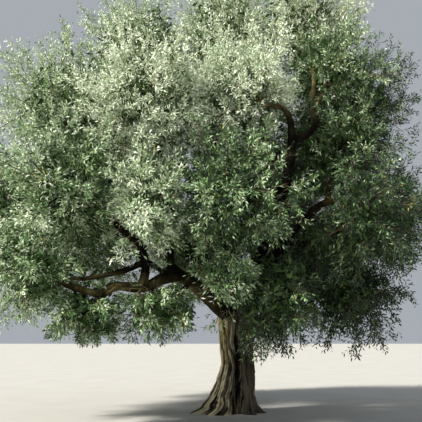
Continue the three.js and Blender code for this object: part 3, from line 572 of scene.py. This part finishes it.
def leaves_of(mass):
    """The corners and the tone of every leaf of a mass. A leaf leaves the shoot at an angle that
    closes towards the tip, and its upper side is as square to its length as it can be while it
    turns to the light."""
    shoot, sprays = mass["shoots"], mass["sprays"]
    pairs = np.maximum(2, np.round(shoot["long"] / PAIR_GAP)).astype(int)
    of = np.repeat(np.arange(len(pairs)), 2 * pairs)
    first_leaf = np.repeat(np.cumsum(2 * pairs) - 2 * pairs, 2 * pairs)
    number = np.arange(len(of)) - first_leaf
    pair, which = number // 2, number % 2
    place = (pair + 0.5 + PAIR_SHIFT * dice.random(len(of))) / pairs[of]
    share = (LEAFLESS + (1 - LEAFLESS) * place)[:, None]
    way, long = shoot["way"][of], shoot["long"][of][:, None]
    point = shoot["root"][of] + way * long * share + shoot["sag"][of] * share**2
    tangent = unit(way * long + 2 * shoot["sag"][of] * share)
    first, second = square_to(tangent)
    angle = (shoot["roll"][of] + pair * TURN / 4 + which * TURN / 2)[:, None]
    aside = np.cos(angle) * first + np.sin(angle) * second
    spread = LEAF_ASIDE * (1 - LEAF_TO_TIP * share)
    leaf_way = unit(LEAF_FORWARD * tangent + spread * aside
                    + LEAF_WANDER * dice.normal(size=point.shape) + UP * LEAF_LIFT * mass["lift"])
    face = (LIGHT_WAY * TO_LIGHT + mass["outward"] * TO_OUTSIDE
            + TO_ANYWHERE * dice.normal(size=point.shape))
    normal = unit(face - (face * leaf_way).sum(1)[:, None] * leaf_way)
    size = between(LEAF_LONG, dice.random(len(of))) * (LONG_AT_BASE - LESS_AT_TIP * share[:, 0])
    middle = point + leaf_way * size[:, None] / 2
    fits = within(mass, middle) & off_limbs(mass, middle, LIMB_CLEAR)
    hides = ~off_windows(middle, HIDING) & (dice.random(len(of)) > KEPT_BEFORE_LIMBS)
    kept = fits & ~hides
    stalk_end = point + leaf_way * LEAF_STALK * size[:, None]
    corners = leaf_corners(stalk_end, leaf_way, normal, size, LEAF_WIDE * size)[kept]
    spray = shoot["spray"][of]
    # The mass's tone paints its light and shade into the colour; sprays and leaves differ from it by
    # chance
    tone = mass["tone"] + SPRAY_TONES * (sprays["luck"] - 0.5)[spray]
    tone = np.maximum(tone + LEAF_TONES * dice.normal(size=len(of)), 0)
    # Old leaves turn yellow here and there, more of them on a few sprays
    many = np.where(sprays["odd"] < OLD_SPRAYS, OLD_THERE, OLD_ELSEWHERE)[spray]
    return corners, np.where(dice.random(len(of)) < many, OLD_TONE, tone)[kept]


leaf_parts = [leaves_of(mass) for mass in ROWS]
leaf_corner_table = np.concatenate([corners for corners, _ in leaf_parts])
leaf_tones = np.concatenate([tones for _, tones in leaf_parts])
print(len(leaf_tones), "leaves")

# %% [markdown]
# ## Meshes from arrays
#
# Rings of corners become tubes, and four corners become a leaf. Blender's curve objects with a
# bevel make tubes too, but one by one; everything of one kind here is one joined mesh, made from
# arrays in one go.

# %% Mesh helpers
def tube_mesh(rings, tips):
    """Corners and faces of many tubes at once, each of which ends in a point. rings is
    (tubes, rings, sides, 3). Each square between two rings is cut into two triangles."""
    tubes, steps, sides, _ = rings.shape
    t, s, k = np.meshgrid(np.arange(tubes), np.arange(steps - 1), np.arange(sides), indexing="ij")
    corner = lambda s, k: (t * steps + s) * sides + k % sides
    a, b, c, d = corner(s, k), corner(s, k + 1), corner(s + 1, k + 1), corner(s + 1, k)
    faces = [np.stack([a, b, c], -1).reshape(-1, 3), np.stack([a, c, d], -1).reshape(-1, 3)]
    corners = rings.reshape(-1, 3)
    t, k = np.meshgrid(np.arange(tubes), np.arange(sides), indexing="ij")
    last = (t * steps + steps - 1) * sides
    cap = np.stack([last + k, last + (k + 1) % sides, len(corners) + t], -1)
    return np.concatenate([corners, tips]), np.concatenate([*faces, cap.reshape(-1, 3)])


def rings_round(centres, ways, side, radii, sides):
    """Rings square to the ways; the last axes of the result are (sides, 3)."""
    flat = unit(side - (side * ways).sum(-1, keepdims=True) * ways)
    across = np.cross(ways, flat)
    angle = (np.arange(sides) / sides * TURN)[:, None]
    around = np.cos(angle) * flat[..., None, :] + np.sin(angle) * across[..., None, :]
    return centres[..., None, :] + radii[..., None] * around


def joined_meshes(parts):
    """Several meshes' corners and faces as one."""
    starts = np.cumsum([0] + [len(corners) for corners, _ in parts[:-1]])
    return (np.concatenate([corners for corners, _ in parts]),
            np.concatenate([faces + start for start, (_, faces) in zip(starts, parts)]))


def new_piece(name, corners, faces, material, nodes, smooth=False):
    """A piece of the tree that rides on the CAD body and stands for these CAD nodes."""
    mesh = bpy.data.meshes.new(name)
    mesh.from_pydata(corners * MM, [], faces)
    mesh.materials.append(material)
    if smooth:
        mesh.shade_smooth()
    piece = bpy.data.objects.new(name, mesh)
    bpy.context.scene.collection.objects.link(piece)
    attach(piece, "root")
    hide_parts(*nodes)
    print(name, len(faces), "faces")
    return piece


# %% [markdown]
# ## The trunk's shape
#
# The CAD trunk's own formula gives the base, the root flare, the broad strands and the hollow up
# the front. The CAD mesh itself could be cut finer, but a formula gives a point at every angle and
# height, so the relief of the bark can be laid on it.

# %% The trunk's shape
TRUNK_RADIUS, WAIST, TOE = 322, 0.1, 5
ROOTS = [(186, 30, 560, 840), (-8, 20, 230, 300), (-52, 17, 150, 260), (-126, 22, 200, 420),
         (62, 24, 260, 420), (118, 20, 190, 330)]  # angle, spread, reach, rise
STRANDS = [(5, 17, 1.1, 20), (8, 10, -0.8, 75)]  # count, height, twist, from
HOLLOW_ANGLE, HOLLOW_SPREAD, HOLLOW_DEPTH = -92, 9, 95
HOLLOW_OPENS, HOLLOW_CLOSES, DOME = (60, 310), (1100, 1500), (1600, 1900)


def ramp(value, start, end):
    """0 before the start, 1 after the end, and 3t^2 - 2t^3 in between."""
    t = np.clip((value - start) / (end - start), 0, 1)
    return t * t * (3 - 2 * t)


def hump(angle, middle, spread):
    """A round hump over an angle: e to the minus square of the angle off, in spreads."""
    off = angle - np.radians(middle)
    off = np.arctan2(np.sin(off), np.cos(off))
    return np.exp(-((off / np.radians(spread)) ** 2))


def hollow(angle, height):
    """The long hollow up the front: 1 where it is deepest, 0 outside it."""
    opened = ramp(height, *HOLLOW_OPENS) - ramp(height, *HOLLOW_CLOSES)
    return opened * hump(angle, HOLLOW_ANGLE, HOLLOW_SPREAD)


def trunk_radius(angle, height):
    """The CAD trunk's radius: a waist as a sine, strands as cosines that twist, a hump for each
    root that grows towards the ground, less the hollow, and a round dome at the top."""
    rise = height / FORK_HEIGHT
    radius = TRUNK_RADIUS * (1 - WAIST * np.sin(rise * np.pi) ** 2)
    for count, out, twist, start in STRANDS:
        radius = radius + out * np.cos(count * (angle - np.radians(start)) + twist * rise * count)
    for way, spread, reach, top in ROOTS:
        down = np.maximum(0, 1 - height / top)
        radius = radius + reach * (down + down**TOE) / 2 * hump(angle, way, spread)
    radius = radius - HOLLOW_DEPTH * hollow(angle, height)
    dome = np.clip((height - DOME[0]) / (DOME[1] - DOME[0]), 0, 1)
    return radius * np.sqrt(1 - dome**2)


print("the trunk's radius half a metre up is", round(float(trunk_radius(0.0, 500.0))), "mm")

# %% [markdown]
# ## The trunk's relief
#
# Old olive wood has narrow ropes of live wood with dark furrows between them, finer strands and
# plates of bark that crack along the grain, and lumpy knees where the roots start. A bump in the
# material would give the shading alone; as real relief of a few centimetres it also breaks the
# outline and throws shadows.

# %% The trunk's relief
TRUNK_AROUND, TRUNK_STEPS, TRUNK_TOP = 190, 130, 1830
WANDER = [(7, 420, 21, 0.5), (14, 160, 22, 0.22)]  # patches round, their height, key and strength
PLATES = [(60, 90, 23, 1), (110, 40, 24, 0.5)]
KNEES, KNEE_TOP = [(17, 90, 25, 1)], 420
ROPES, ROPE_TWIST = 15, 0.5  # how many, and by how many of them they shift in a metre
FINE_ROPES, FINE_TWIST, FINE_WANDER = 43, -0.6, 1.6
ROPE_HIGH, FURROW_DEEP, FINE_HIGH, PLATE_HIGH = 1.2, 1.15, 0.75, 0.35
RELIEF_DEPTH, KNEE_DEPTH, INSET = 25, 52, 4
# Shade is painted down the hollow: the relief that sets the colour is lowered there by this much
HOLLOW_PAINTED_SHADE = 1.5  # how far down the hollow counts as relief for the colour


def noise(x, y, key, period):
    """Smooth noise from -1 to 1 over a plane: chance at whole places, blended in between by
    3t^2 - 2t^3. It meets itself again after a period of x, as it has to round a trunk."""
    ix, iy = np.floor(x).astype(int), np.floor(y).astype(int)
    u, v = x - ix, y - iy
    u, v = u * u * (3 - 2 * u), v * v * (3 - 2 * v)
    corner = lambda p, q: chance((ix + p) % period, iy + q, key)
    low = corner(0, 0) * (1 - u) + corner(1, 0) * u
    high = corner(0, 1) * (1 - u) + corner(1, 1) * u
    return 2 * (low * (1 - v) + high * v) - 1


def patches(turn, height, layers):
    """Layers of noise round the trunk, each times its strength, added up."""
    return sum(strength * noise(turn * around, height / tall, key, around)
               for around, tall, key, strength in layers)


def rope(place):
    """1 on the ridge and 0 in the furrow at each whole place: 1 - |2t - 1|."""
    return 1 - np.abs(2 * (place % 1) - 1)


def trunk_relief(turn, height):
    """Ropes of wood that twist up the trunk, finer ones and plates of bark on them; from about -1
    in a furrow to 1 on a ridge. The root of a rope's height makes its back broad and round."""
    wander = patches(turn, height, WANDER)
    broad = rope(turn * ROPES + ROPE_TWIST * height / 1000 + wander)
    fine = rope(turn * FINE_ROPES + FINE_TWIST * height / 1000 + FINE_WANDER * wander)
    plates = patches(turn, height, PLATES)
    return ROPE_HIGH * np.sqrt(broad) - FURROW_DEEP + FINE_HIGH * fine + PLATE_HIGH * plates


angle, height = np.meshgrid(np.arange(TRUNK_AROUND) / TRUNK_AROUND * TURN,
                            np.linspace(0, TRUNK_TOP, TRUNK_STEPS))
turn = angle / TURN % 1
relief = trunk_relief(turn, height)
knees = patches(turn, height, KNEES) * np.clip(1 - height / KNEE_TOP, 0, 1)
radius = trunk_radius(angle, height) + RELIEF_DEPTH * relief + KNEE_DEPTH * knees - INSET
centre = along(TRUNK_AXIS, np.minimum(height[:, 0] / FORK_HEIGHT, 1))
rings = np.stack([centre[:, None, 0] + radius * np.cos(angle),
                  centre[:, None, 1] + radius * np.sin(angle), height], -1)
trunk_tip = [[*TRUNK_AXIS[-1, :2], TRUNK_TOP]]
trunk_corners, trunk_faces = tube_mesh(rings[None], trunk_tip)
# The relief for the colour, lowered down the hollow for painted shade there
trunk_relief_and_hollow_shade = np.append((relief - HOLLOW_PAINTED_SHADE * hollow(angle, height)).ravel(), 0)
print("the trunk is", round(float(np.ptp(trunk_corners[:, 0]) * MM), 2), "m across its roots")

# %% [markdown]
# ## Limbs
#
# Each limb is a tube along the same curve as its CAD solid, with shallow ribs and swellings.
# Boughs of an old olive tree aren't round: they are ribbed, lumpy and thicker at every joint. A
# Skin modifier could grow them from a few points, but not along the solids' own curves.

# %% Limbs
LIMB_STEP, LIMB_SIDES, FEWEST_RINGS = 45, 12, 12
RIBS, LUMPS = (7, 330, 31), (3, 150, 61)  # how many round a limb, their length and key
RIB_HIGH, LUMP_HIGH = 0.09, 0.07


def limb_mesh(row):
    """The corners and faces of one limb, and the relief at each corner. The CAD limb's radius is
    multiplied by 1 + ribs + lumps, which are both noise."""
    length = np.linalg.norm(np.diff(row["curve"], axis=0), axis=1).sum()
    share = np.linspace(0, 1, max(FEWEST_RINGS, int(length / LIMB_STEP)))
    turn, run = np.meshgrid(np.arange(LIMB_SIDES) / LIMB_SIDES, share * length)
    ribs, lumps = (noise(turn * around, run / long, key + row["index"], around)
                   for around, long, key in (RIBS, LUMPS))
    radii = limb_radius(row, share)[:, None] * (1 + RIB_HIGH * ribs + LUMP_HIGH * lumps)
    curve = row["curve"]
    side, _ = square_to(unit(curve[-1] - curve[0]))
    rings = rings_round(along(curve, share), heading(curve, share), side, radii, LIMB_SIDES)
    corners, faces = tube_mesh(rings[None], curve[-1:])
    return corners, faces, np.append(ribs.ravel(), 0)


limb_parts = [limb_mesh(row) for row in ROWS]
limb_corners, limb_faces = joined_meshes([part[:2] for part in limb_parts])
limb_relief_values = np.concatenate([part[2] for part in limb_parts])
print("limbs", len(limb_faces), "faces")

# %% [markdown]
# ## Twigs
#
# The stems go on from the limbs' tips and thin out; the branchlets leave them, and the shoots
# leave the branchlets. They are much thinner than the CAD's, which have to be solid enough to
# hold its blades. Three or four sides are enough for a twig that is a pixel wide.

# %% Twigs
STEM_THIN, STEM_END, STEM_RINGS, STEM_LAST, STEM_SIDES = 0.85, 13, 9, 0.97, 8
BRANCHLET_THICK, BRANCHLET_RINGS, BRANCHLET_SIDES = (13, 5), (0, 0.3, 0.6, 0.9), 4
SHOOT_THICK, SHOOT_SIDES = 3.4, 3
HALFWAY_THICK, SIDE_THICK = 0.6, 0.7  # shares of that, halfway along and at the side shoots' base


def bent_tubes(lines, radii, shares, sides):
    """Tubes of a few sides along many bent lines at once, each ending in a point."""
    count = lines.shape[1]
    side, _ = square_to(unit(lines[-1] - lines[0]))
    centres = np.stack([along(lines, np.full(count, share)) for share in shares], 1)
    ways = np.stack([heading(lines, np.full(count, share)) for share in shares], 1)
    wide = np.broadcast_to(np.asarray(radii, float), (count, len(shares)))[..., None]
    return tube_mesh(rings_round(centres, ways, side[:, None], wide, sides), lines[-1])


def shoot_mesh(mass):
    """The shoots of a mass: the main one of each spray is bent, and those beside it are cones."""
    shoot = mass["shoots"]
    reach = shoot["way"] * shoot["long"][:, None]
    middle = shoot["root"] + reach / 2 + shoot["sag"] / 4
    lines = np.stack([shoot["root"], middle, shoot["root"] + reach + shoot["sag"]])
    main = shoot["main"]
    bent = bent_tubes(lines[:, main], [SHOOT_THICK, HALFWAY_THICK * SHOOT_THICK], (0, 0.5), SHOOT_SIDES)
    plain = bent_tubes(lines[:, ~main], [SIDE_THICK * SHOOT_THICK], (0,), SHOOT_SIDES)
    return joined_meshes([bent, plain])


stem_shares = np.linspace(0, STEM_LAST, STEM_RINGS)
branch_parts = []
for mass in ROWS:
    radii = np.linspace(STEM_THIN * mass["thick"][1], STEM_END, STEM_RINGS)
    branch_parts.append(bent_tubes(mass["stem"][:, None], radii, stem_shares, STEM_SIDES))
radii = np.linspace(*BRANCHLET_THICK, len(BRANCHLET_RINGS))
branch_parts.append(bent_tubes(branchlet_lines, radii, BRANCHLET_RINGS, BRANCHLET_SIDES))
branch_corners, branch_faces = joined_meshes(branch_parts)
shoot_corners, shoot_faces = joined_meshes([shoot_mesh(mass) for mass in ROWS])
print("stems and branchlets", len(branch_faces), "faces, shoots", len(shoot_faces))

# %% [markdown]
# ## Shade leaves
#
# Deep inside each mass the real tree has many more leaves and dead twigs than can be built. About
# a thousand broader, dark leaves in each mass stand for them, more in the rear half, where only
# their darkness shows. They stay near the heart of the mass on its outer side and may reach its
# edge towards the inside of the crown. A dark ball would do the same with fewer faces, but its
# smooth outline would show through every gap.

# %% Shade leaves
SHADE_LEAVES, REAR_SHADE_LEAVES = 900, 1400  # in a mass of the front and of the rear half
SHADE_LONG, SHADE_WIDE, SHADE_TURN_IN = 180, 66, 0.2
SHADE_OUT, SHADE_IN = 0.34, 1.0  # the furthest of them, as shares of the room outwards and inwards
SHADE_ROUND, SHADE_SPREAD = 0.7, 0.5  # powers: how fast that changes, and how evenly they lie


def shade_leaves_of(mass):
    """The corners of the dark leaves inside a mass. The distance from its centre is the furthest
    in that direction times the square root of chance."""
    count = SHADE_LEAVES if mass["centre"][1] < 0 else REAR_SHADE_LEAVES
    way = unit(dice.normal(size=(count, 3)))
    inward = ((1 - way @ mass["outward"]) / 2) ** SHADE_ROUND
    deep = between((SHADE_OUT, SHADE_IN), inward) * dice.random(count) ** SHADE_SPREAD
    middle = mass["centre"] + way * (deep * room(mass, way))[:, None]
    leaf_way = unit(dice.normal(size=middle.shape) - way * SHADE_TURN_IN)
    normal = unit(np.cross(leaf_way, dice.normal(size=middle.shape)))
    half = SHADE_LONG / 2
    clear = off_limbs(mass, middle, half) & off_windows(middle, half)
    long, wide = np.full(count, SHADE_LONG), np.full(count, SHADE_WIDE)
    return leaf_corners(middle - leaf_way * half, leaf_way, normal, long, wide)[clear]


shade_corner_table = np.concatenate([shade_leaves_of(mass) for mass in ROWS])
print(len(shade_corner_table), "shade leaves")

# %% [markdown]
# ## Materials
#
# Every material is a small tree of shader nodes on object coordinates, with its patterns in real
# millimetres. A picture could be painted for each, but a pattern worked out at every point stays
# sharp from near and far. One function turns the colour of a screen into the linear colour of a
# shader, and one adds a node.

# %% Material helpers
MIX_LOW, MIX_HIGH, MIXED = 6, 7, 2  # the inputs and the output of a Mix node for colours


def colour(code):
    """A screen colour such as "6b6450" as linear light: below 0.04045 a twelfth and a bit, above
    it ((c + 0.055) / 1.055) to the power 2.4."""
    c = np.array([int(code[k:k + 2], 16) / 255 for k in (0, 2, 4)])
    c = np.where(c <= 0.04045, c / 12.92, ((c + 0.055) / 1.055) ** 2.4)
    return (*c.tolist(), 1.0)


def add(tree, kind, inputs=None, **settings):
    """One shader node with its settings and its inputs: numbers, screen colours, other nodes'
    outputs, or other nodes, which give their first output."""
    node = tree.nodes.new("ShaderNode" + kind)
    for name, value in settings.items():
        setattr(node, name, value)
    for name, value in (inputs or {}).items():
        if isinstance(value, bpy.types.Node):
            value = value.outputs[0]
        if isinstance(value, bpy.types.NodeSocket):
            tree.links.new(value, node.inputs[name])
        else:
            node.inputs[name].default_value = colour(value) if isinstance(value, str) else value
    return node


def new_material(name, roughness, gloss=0.5):
    """A material with its tree, its surface node and its object coordinates. The gloss is the
    surface's specular level: 0.5 is usual, and less is for what hardly shines at all."""
    material = bpy.data.materials.new(name)
    material.use_nodes = True
    tree = material.node_tree
    surface = tree.nodes["Principled BSDF"]
    surface.inputs["Roughness"].default_value = roughness
    surface.inputs["Specular IOR Level"].default_value = gloss
    return material, tree, surface, add(tree, "TexCoord").outputs["Object"]


def spots(tree, place, size_mm, detail=3.0, stretch=(1, 1, 1)):
    """Noise with features of a real size in millimetres, drawn out where the stretch is small."""
    moved = add(tree, "Mapping", {"Vector": place, "Scale": stretch})
    return add(tree, "TexNoise", {"Vector": moved, "Scale": 1000 / size_mm, "Detail": detail})


def blend(tree, factor, low, high, start=0.0, end=1.0):
    """One colour where the factor is at the start or below, the other at the end or above."""
    share = add(tree, "MapRange", {"Value": factor, "From Min": start, "From Max": end})
    colours = {"Factor": share, MIX_LOW: low, MIX_HIGH: high}
    return add(tree, "Mix", colours, data_type="RGBA").outputs[MIXED]


def finish(tree, surface, tint, relief=None, depth_mm=0):
    """Gives a surface its colour and, from a relief of 0 to 1, fine bumps of a real depth."""
    tree.links.new(tint, surface.inputs["Base Color"])
    if relief:
        bump = add(tree, "Bump", {"Height": relief, "Strength": 1.0, "Distance": depth_mm * MM})
        tree.links.new(bump.outputs["Normal"], surface.inputs["Normal"])


print("a middle grey is", [round(value, 3) for value in colour("808080")[:3]])

# %% [markdown]
# ## Trunk bark
#
# Bark of an old olive trunk is grey-brown and dull. Nearly black is painted in its furrows and down
# the hollow as painted shade, and a pale buff on its ridges on the left as painted sunlight. Above
# knee height ochre lichen grows on that side. The relief of the mesh says where ridges and furrows
# are, so the colours follow the shape; noise alone would put them anywhere.

# %% Trunk bark
# Weathered bark with no shine: the eye sees only its colour and the shadows of its relief
# Sunlight is painted on the ridges of the left side, where lichen grows too
SUNNY_SIDE, ABOVE_KNEES = (0.25, -0.15), (0.3, 0.9)  # from and to, in metres along X and Z
PAINTED_SUN_DEPTH = 0.3  # how far below the middle of the relief the pale buff still reaches
bark, tree, surface, place = new_material("olive_bark", 0.95, 0.2)
ridge = add(tree, "Attribute", attribute_name="relief").outputs["Fac"]
spot = add(tree, "SeparateXYZ", {"Vector": place})
sunny = add(tree, "MapRange", {"Value": spot.outputs["X"], "From Min": SUNNY_SIDE[0],
                               "From Max": SUNNY_SIDE[1]}, clamp=False)
high = add(tree, "MapRange", {"Value": spot.outputs["Z"], "From Min": ABOVE_KNEES[0],
                              "From Max": ABOVE_KNEES[1]})
lichen = add(tree, "Math", {0: spots(tree, place, 150, 5.0), 1: high}, operation="MULTIPLY")
lichen = add(tree, "Math", {0: lichen, 1: sunny}, operation="MULTIPLY")
# The pale buff is painted sunlight on the ridges of the left side
raised = add(tree, "Math", {0: ridge, 1: PAINTED_SUN_DEPTH}, operation="ADD")
pale = add(tree, "Math", {0: raised, 1: sunny}, operation="MULTIPLY")
tint = blend(tree, spots(tree, place, 240, 4.0, (1, 1, 0.35)), "3f3a30", "6b6452", 0.38, 0.62)
tint = blend(tree, lichen, tint, "7d7038", 0.4, 0.58)
# Painted sunlight
tint = blend(tree, pale, tint, "d2c6a4", 0.3, 0.95)
# Nearly black in the furrows and down the hollow: painted shade
tint = blend(tree, ridge, "0d0b08", tint, -0.7, 0.0)
finish(tree, surface, tint, spots(tree, place, 22, 4.0, (1, 1, 0.3)), 12)
print("trunk bark has", len(tree.nodes), "nodes")

# %% [markdown]
# ## Limb and twig bark
#
# Inside the crown hardly any light reaches the limbs, so their bark is painted nearly black as
# painted shade, with a few olive-green patches of moss. Where the sun gets in, along the low left
# bough, in the upper forks and at the end of the right bough, a warm brown is painted as painted
# sunlight. Light alone could make that difference, but the leaves here let more of it in than the
# real crown does. The youngest twigs are smooth and a pale grey-brown.

# %% Limb and twig bark
# Warm brown painted where the sun gets in: painted sunlight on the limbs
SUNLIT = [  # how brown at most, then from where to where it gets so, in metres
    (1.0, {"X": (-0.2, -1.1), "Z": (2.42, 2.22)}),  # the low left bough
    (1.0, {"Z": (4.9, 5.5)}),  # the upper forks
    (0.7, {"X": (1.25, 1.6), "Z": (4.2, 3.9)}),  # the right bough
]
# Bark painted nearly black for the deep shade in the crown, with moss: almost no light comes back from
# it
limb_bark, tree, surface, place = new_material("olive_limb_bark", 0.95, 0.1)
ridge = add(tree, "Attribute", attribute_name="relief").outputs["Fac"]
spot = add(tree, "SeparateXYZ", {"Vector": place})
sunlit = 0.0
for patch, ramps in SUNLIT:  # each patch is its number times its ramps, and the most counts
    for axis, (start, end) in ramps.items():
        step = add(tree, "MapRange", {"Value": spot.outputs[axis], "From Min": start, "From Max": end})
        patch = add(tree, "Math", {0: patch, 1: step}, operation="MULTIPLY")
    sunlit = add(tree, "Math", {0: sunlit, 1: patch}, operation="MAXIMUM")
# The warm brown of the painted sunlight
warm = blend(tree, spots(tree, place, 200, 4.0), "3a3422", "85784f", 0.35, 0.65)
# Nearly black: painted shade inside the crown
tint = blend(tree, spots(tree, place, 160, 4.0), "0d0b07", "1f1c13", 0.4, 0.6)
tint = blend(tree, spots(tree, place, 90, 4.0), tint, "34351f", 0.62, 0.74)
# Painted sunlight over the painted shade
tint = blend(tree, sunlit, tint, warm)
# Nearly black in the furrows between the ribs: painted shade
tint = blend(tree, ridge, "0f0d08", tint, -0.9, -0.2)
finish(tree, surface, tint, spots(tree, place, 25, 4.0), 8)
print("limb bark has", len(tree.nodes), "nodes")

# Young bark: smooth enough for a faint shine
twig_bark, tree, surface, place = new_material("olive_twig_bark", 0.85, 0.2)
finish(tree, surface, blend(tree, spots(tree, place, 120), "6f6a50", "9a9273", 0.35, 0.65))

# %% [markdown]
# ## Leaf colours
#
# An olive leaf is grey-green and waxy above, which gives it a low gloss, and felted silver below.
# From a distance the crown shows silver where undersides and sunlit tops show, sage and green
# between, and deep green in the shade; here that light and shade is painted into the leaves'
# colours. One material could read a colour from each leaf, but plain colours dealt out by spray
# carry over to any other program. Each spray has its tone of painted light and shade, each leaf is
# a little off it, and a few old leaves are yellow.

# %% Leaf colours
LEAF_ROUGH, SHADE_ROUGH = 0.5, 0.7
LEAF_PATCH = 160  # a colour varies over a hand's length, from spray to spray
# Each colour: the tone below which it is dealt out, then its darker and lighter shade
# Deep green is painted shade, and silver and pale are painted sunlight over the leaves' own silver
TINTS = [
    ("yellow", -0.5, "8f8c45", "b3ad62"),
    ("deep", 0.14, "0f2311", "203c1c"),
    ("green", 0.4, "37562b", "587b42"),
    ("sage", 0.7, "658a55", "95b27c"),
    ("silver", 1.14, "a4ba8f", "d9e5c8"),
    ("pale", 9.0, "c4d4b1", "eff5e2"),
]


def leaf_material(name, dark, light, roughness=LEAF_ROUGH):
    """Waxy leaves of one colour, between a darker and a lighter shade by noise."""
    material, tree, surface, place = new_material(name, roughness)
    finish(tree, surface, blend(tree, spots(tree, place, LEAF_PATCH, 4.0), dark, light, 0.36, 0.64))
    return material


# A darker green than the outer leaves: painted shade inside the crown
shade_material = leaf_material("olive_leaf_shade", "304824", "4a6631", SHADE_ROUGH)
print(len(TINTS), "leaf colours and one for the shade")

# %% [markdown]
# ## Pieces
#
# Trunk, limbs, twigs and leaves become pieces that stand for the CAD nodes. Leaves could be
# copies of one leaf object, but a joined mesh of each colour exports as it is. A colour is cut
# into several pieces only where it has too many faces for one.

# %% Pieces
MOST_FACES, LOWEST_TONE = 190000, -9.0
LIMBS = [row["limb"] for row in ROWS]
MASSES = [row["mass"] for row in ROWS]


def leaf_piece(name, corners, material):
    """A joined mesh of leaves, from the four corners of each."""
    first = 4 * np.arange(len(corners))[:, None]
    faces = np.concatenate([first + [0, 2, 1], first + [1, 2, 3]])
    return new_piece(name, corners.reshape(-1, 3), faces, material, MASSES)


trunk = new_piece("trunk_bark", trunk_corners, trunk_faces, bark, ["trunk"], smooth=True)
limbs = new_piece("limb_bark", limb_corners, limb_faces, limb_bark, LIMBS, smooth=True)
for piece, values in ((trunk, trunk_relief_and_hollow_shade), (limbs, limb_relief_values)):
    layer = piece.data.attributes.new("relief", "FLOAT", "POINT")
    layer.data.foreach_set("value", values.astype(np.float32))
new_piece("branchlets", branch_corners, branch_faces, limb_bark, MASSES, smooth=True)
new_piece("shoots", shoot_corners, shoot_faces, twig_bark, MASSES)
low = LOWEST_TONE
for tint_name, high, dark, light in TINTS:
    picked = leaf_corner_table[(leaf_tones >= low) & (leaf_tones < high)]
    low = high
    material = leaf_material("olive_leaf_" + tint_name, dark, light)
    parts = int(np.ceil(2 * len(picked) / MOST_FACES))
    for number, part in enumerate(np.array_split(picked, max(parts, 1))):
        leaf_piece(f"leaves_{tint_name}_{number + 1}", part, material)
leaf_piece("leaves_shade", shade_corner_table, shade_material)

# %% [markdown]
# ## Floor
#
# A wide pale floor takes the tree's shadow and shows that it stands on the ground. It could be
# rough like real ground, but a plain floor leaves the eye to the tree.

# %% Floor
# Matt paint: it gives back an even, pale grey with nothing to look at
FLOOR_HALF = 60.0  # in metres
floor_material, tree, surface, place = new_material("pale_floor", 0.9)
finish(tree, surface, blend(tree, spots(tree, place, 900), "b9b7b1", "c0beb8", 0.3, 0.7))
corners = [(x * FLOOR_HALF, y * FLOOR_HALF, 0) for x, y in ((-1, -1), (1, -1), (1, 1), (-1, 1))]
floor_mesh = bpy.data.meshes.new("floor")
floor_mesh.from_pydata(corners, [], [(0, 1, 2, 3)])
floor_mesh.materials.append(floor_material)
floor = bpy.data.objects.new("floor", floor_mesh)
bpy.context.scene.collection.objects.link(floor)
print("the floor is", 2 * FLOOR_HALF, "m wide")

# %% [markdown]
# ## Light
#
# The photo's light comes from high on the left, a little in front of the tree. A sun lamp gives
# it, wide enough for soft edges, and a weak, bluish light from all sides fills the shade. An area
# lamp would be softer still, but it would have to be bigger than the tree.

# %% Light
SUN_STRENGTH, SUN_WIDTH, SUN_COLOUR = 6.4, 6, (1.0, 0.96, 0.88)
SKY_STRENGTH, SKY_COLOUR = 0.45, (0.86, 0.92, 1.0, 1.0)
sun_data = bpy.data.lights.new("key_light", "SUN")
sun_data.energy = SUN_STRENGTH
sun_data.angle = np.radians(SUN_WIDTH)
sun_data.color = SUN_COLOUR
sun = bpy.data.objects.new("key_light", sun_data)
sun.rotation_mode = "QUATERNION"
sun.rotation_quaternion = Vector(LIGHT_WAY).to_track_quat("Z", "Y")
bpy.context.scene.collection.objects.link(sun)

world = bpy.data.worlds.new("studio")
world.use_nodes = True
background = world.node_tree.nodes["Background"]
background.inputs["Color"].default_value = SKY_COLOUR
background.inputs["Strength"].default_value = SKY_STRENGTH
bpy.context.scene.world = world
print("the sun stands", round(float(np.degrees(np.arcsin(LIGHT_WAY[2])))), "degrees high")

# %% [markdown]
# ## Camera
#
# The camera has the photo's eye height, tilt and angle of view, so that the render can be laid
# beside it. Its tilt could be found by trial, but the row of the horizon gives it at once.

# %% Camera
PHOTO_SIDE, FOCAL_PIXELS, HORIZON_ROW = 422, 647.0, 330  # in pixels of the photo
CAMERA_PLACE, FARTHEST = (-0.40224, -12.3, 1.48), 300  # in metres
lens = bpy.data.cameras.new("camera")
lens.lens = lens.sensor_width * FOCAL_PIXELS / PHOTO_SIDE
lens.clip_end = FARTHEST
camera = bpy.data.objects.new("camera", lens)
camera.location = CAMERA_PLACE
tilt = np.arctan2(HORIZON_ROW - PHOTO_SIDE / 2, FOCAL_PIXELS)
camera.rotation_euler = (np.pi / 2 + tilt, 0, 0)
bpy.context.scene.collection.objects.link(camera)
bpy.context.scene.camera = camera
bpy.context.scene.view_settings.view_transform = "Standard"
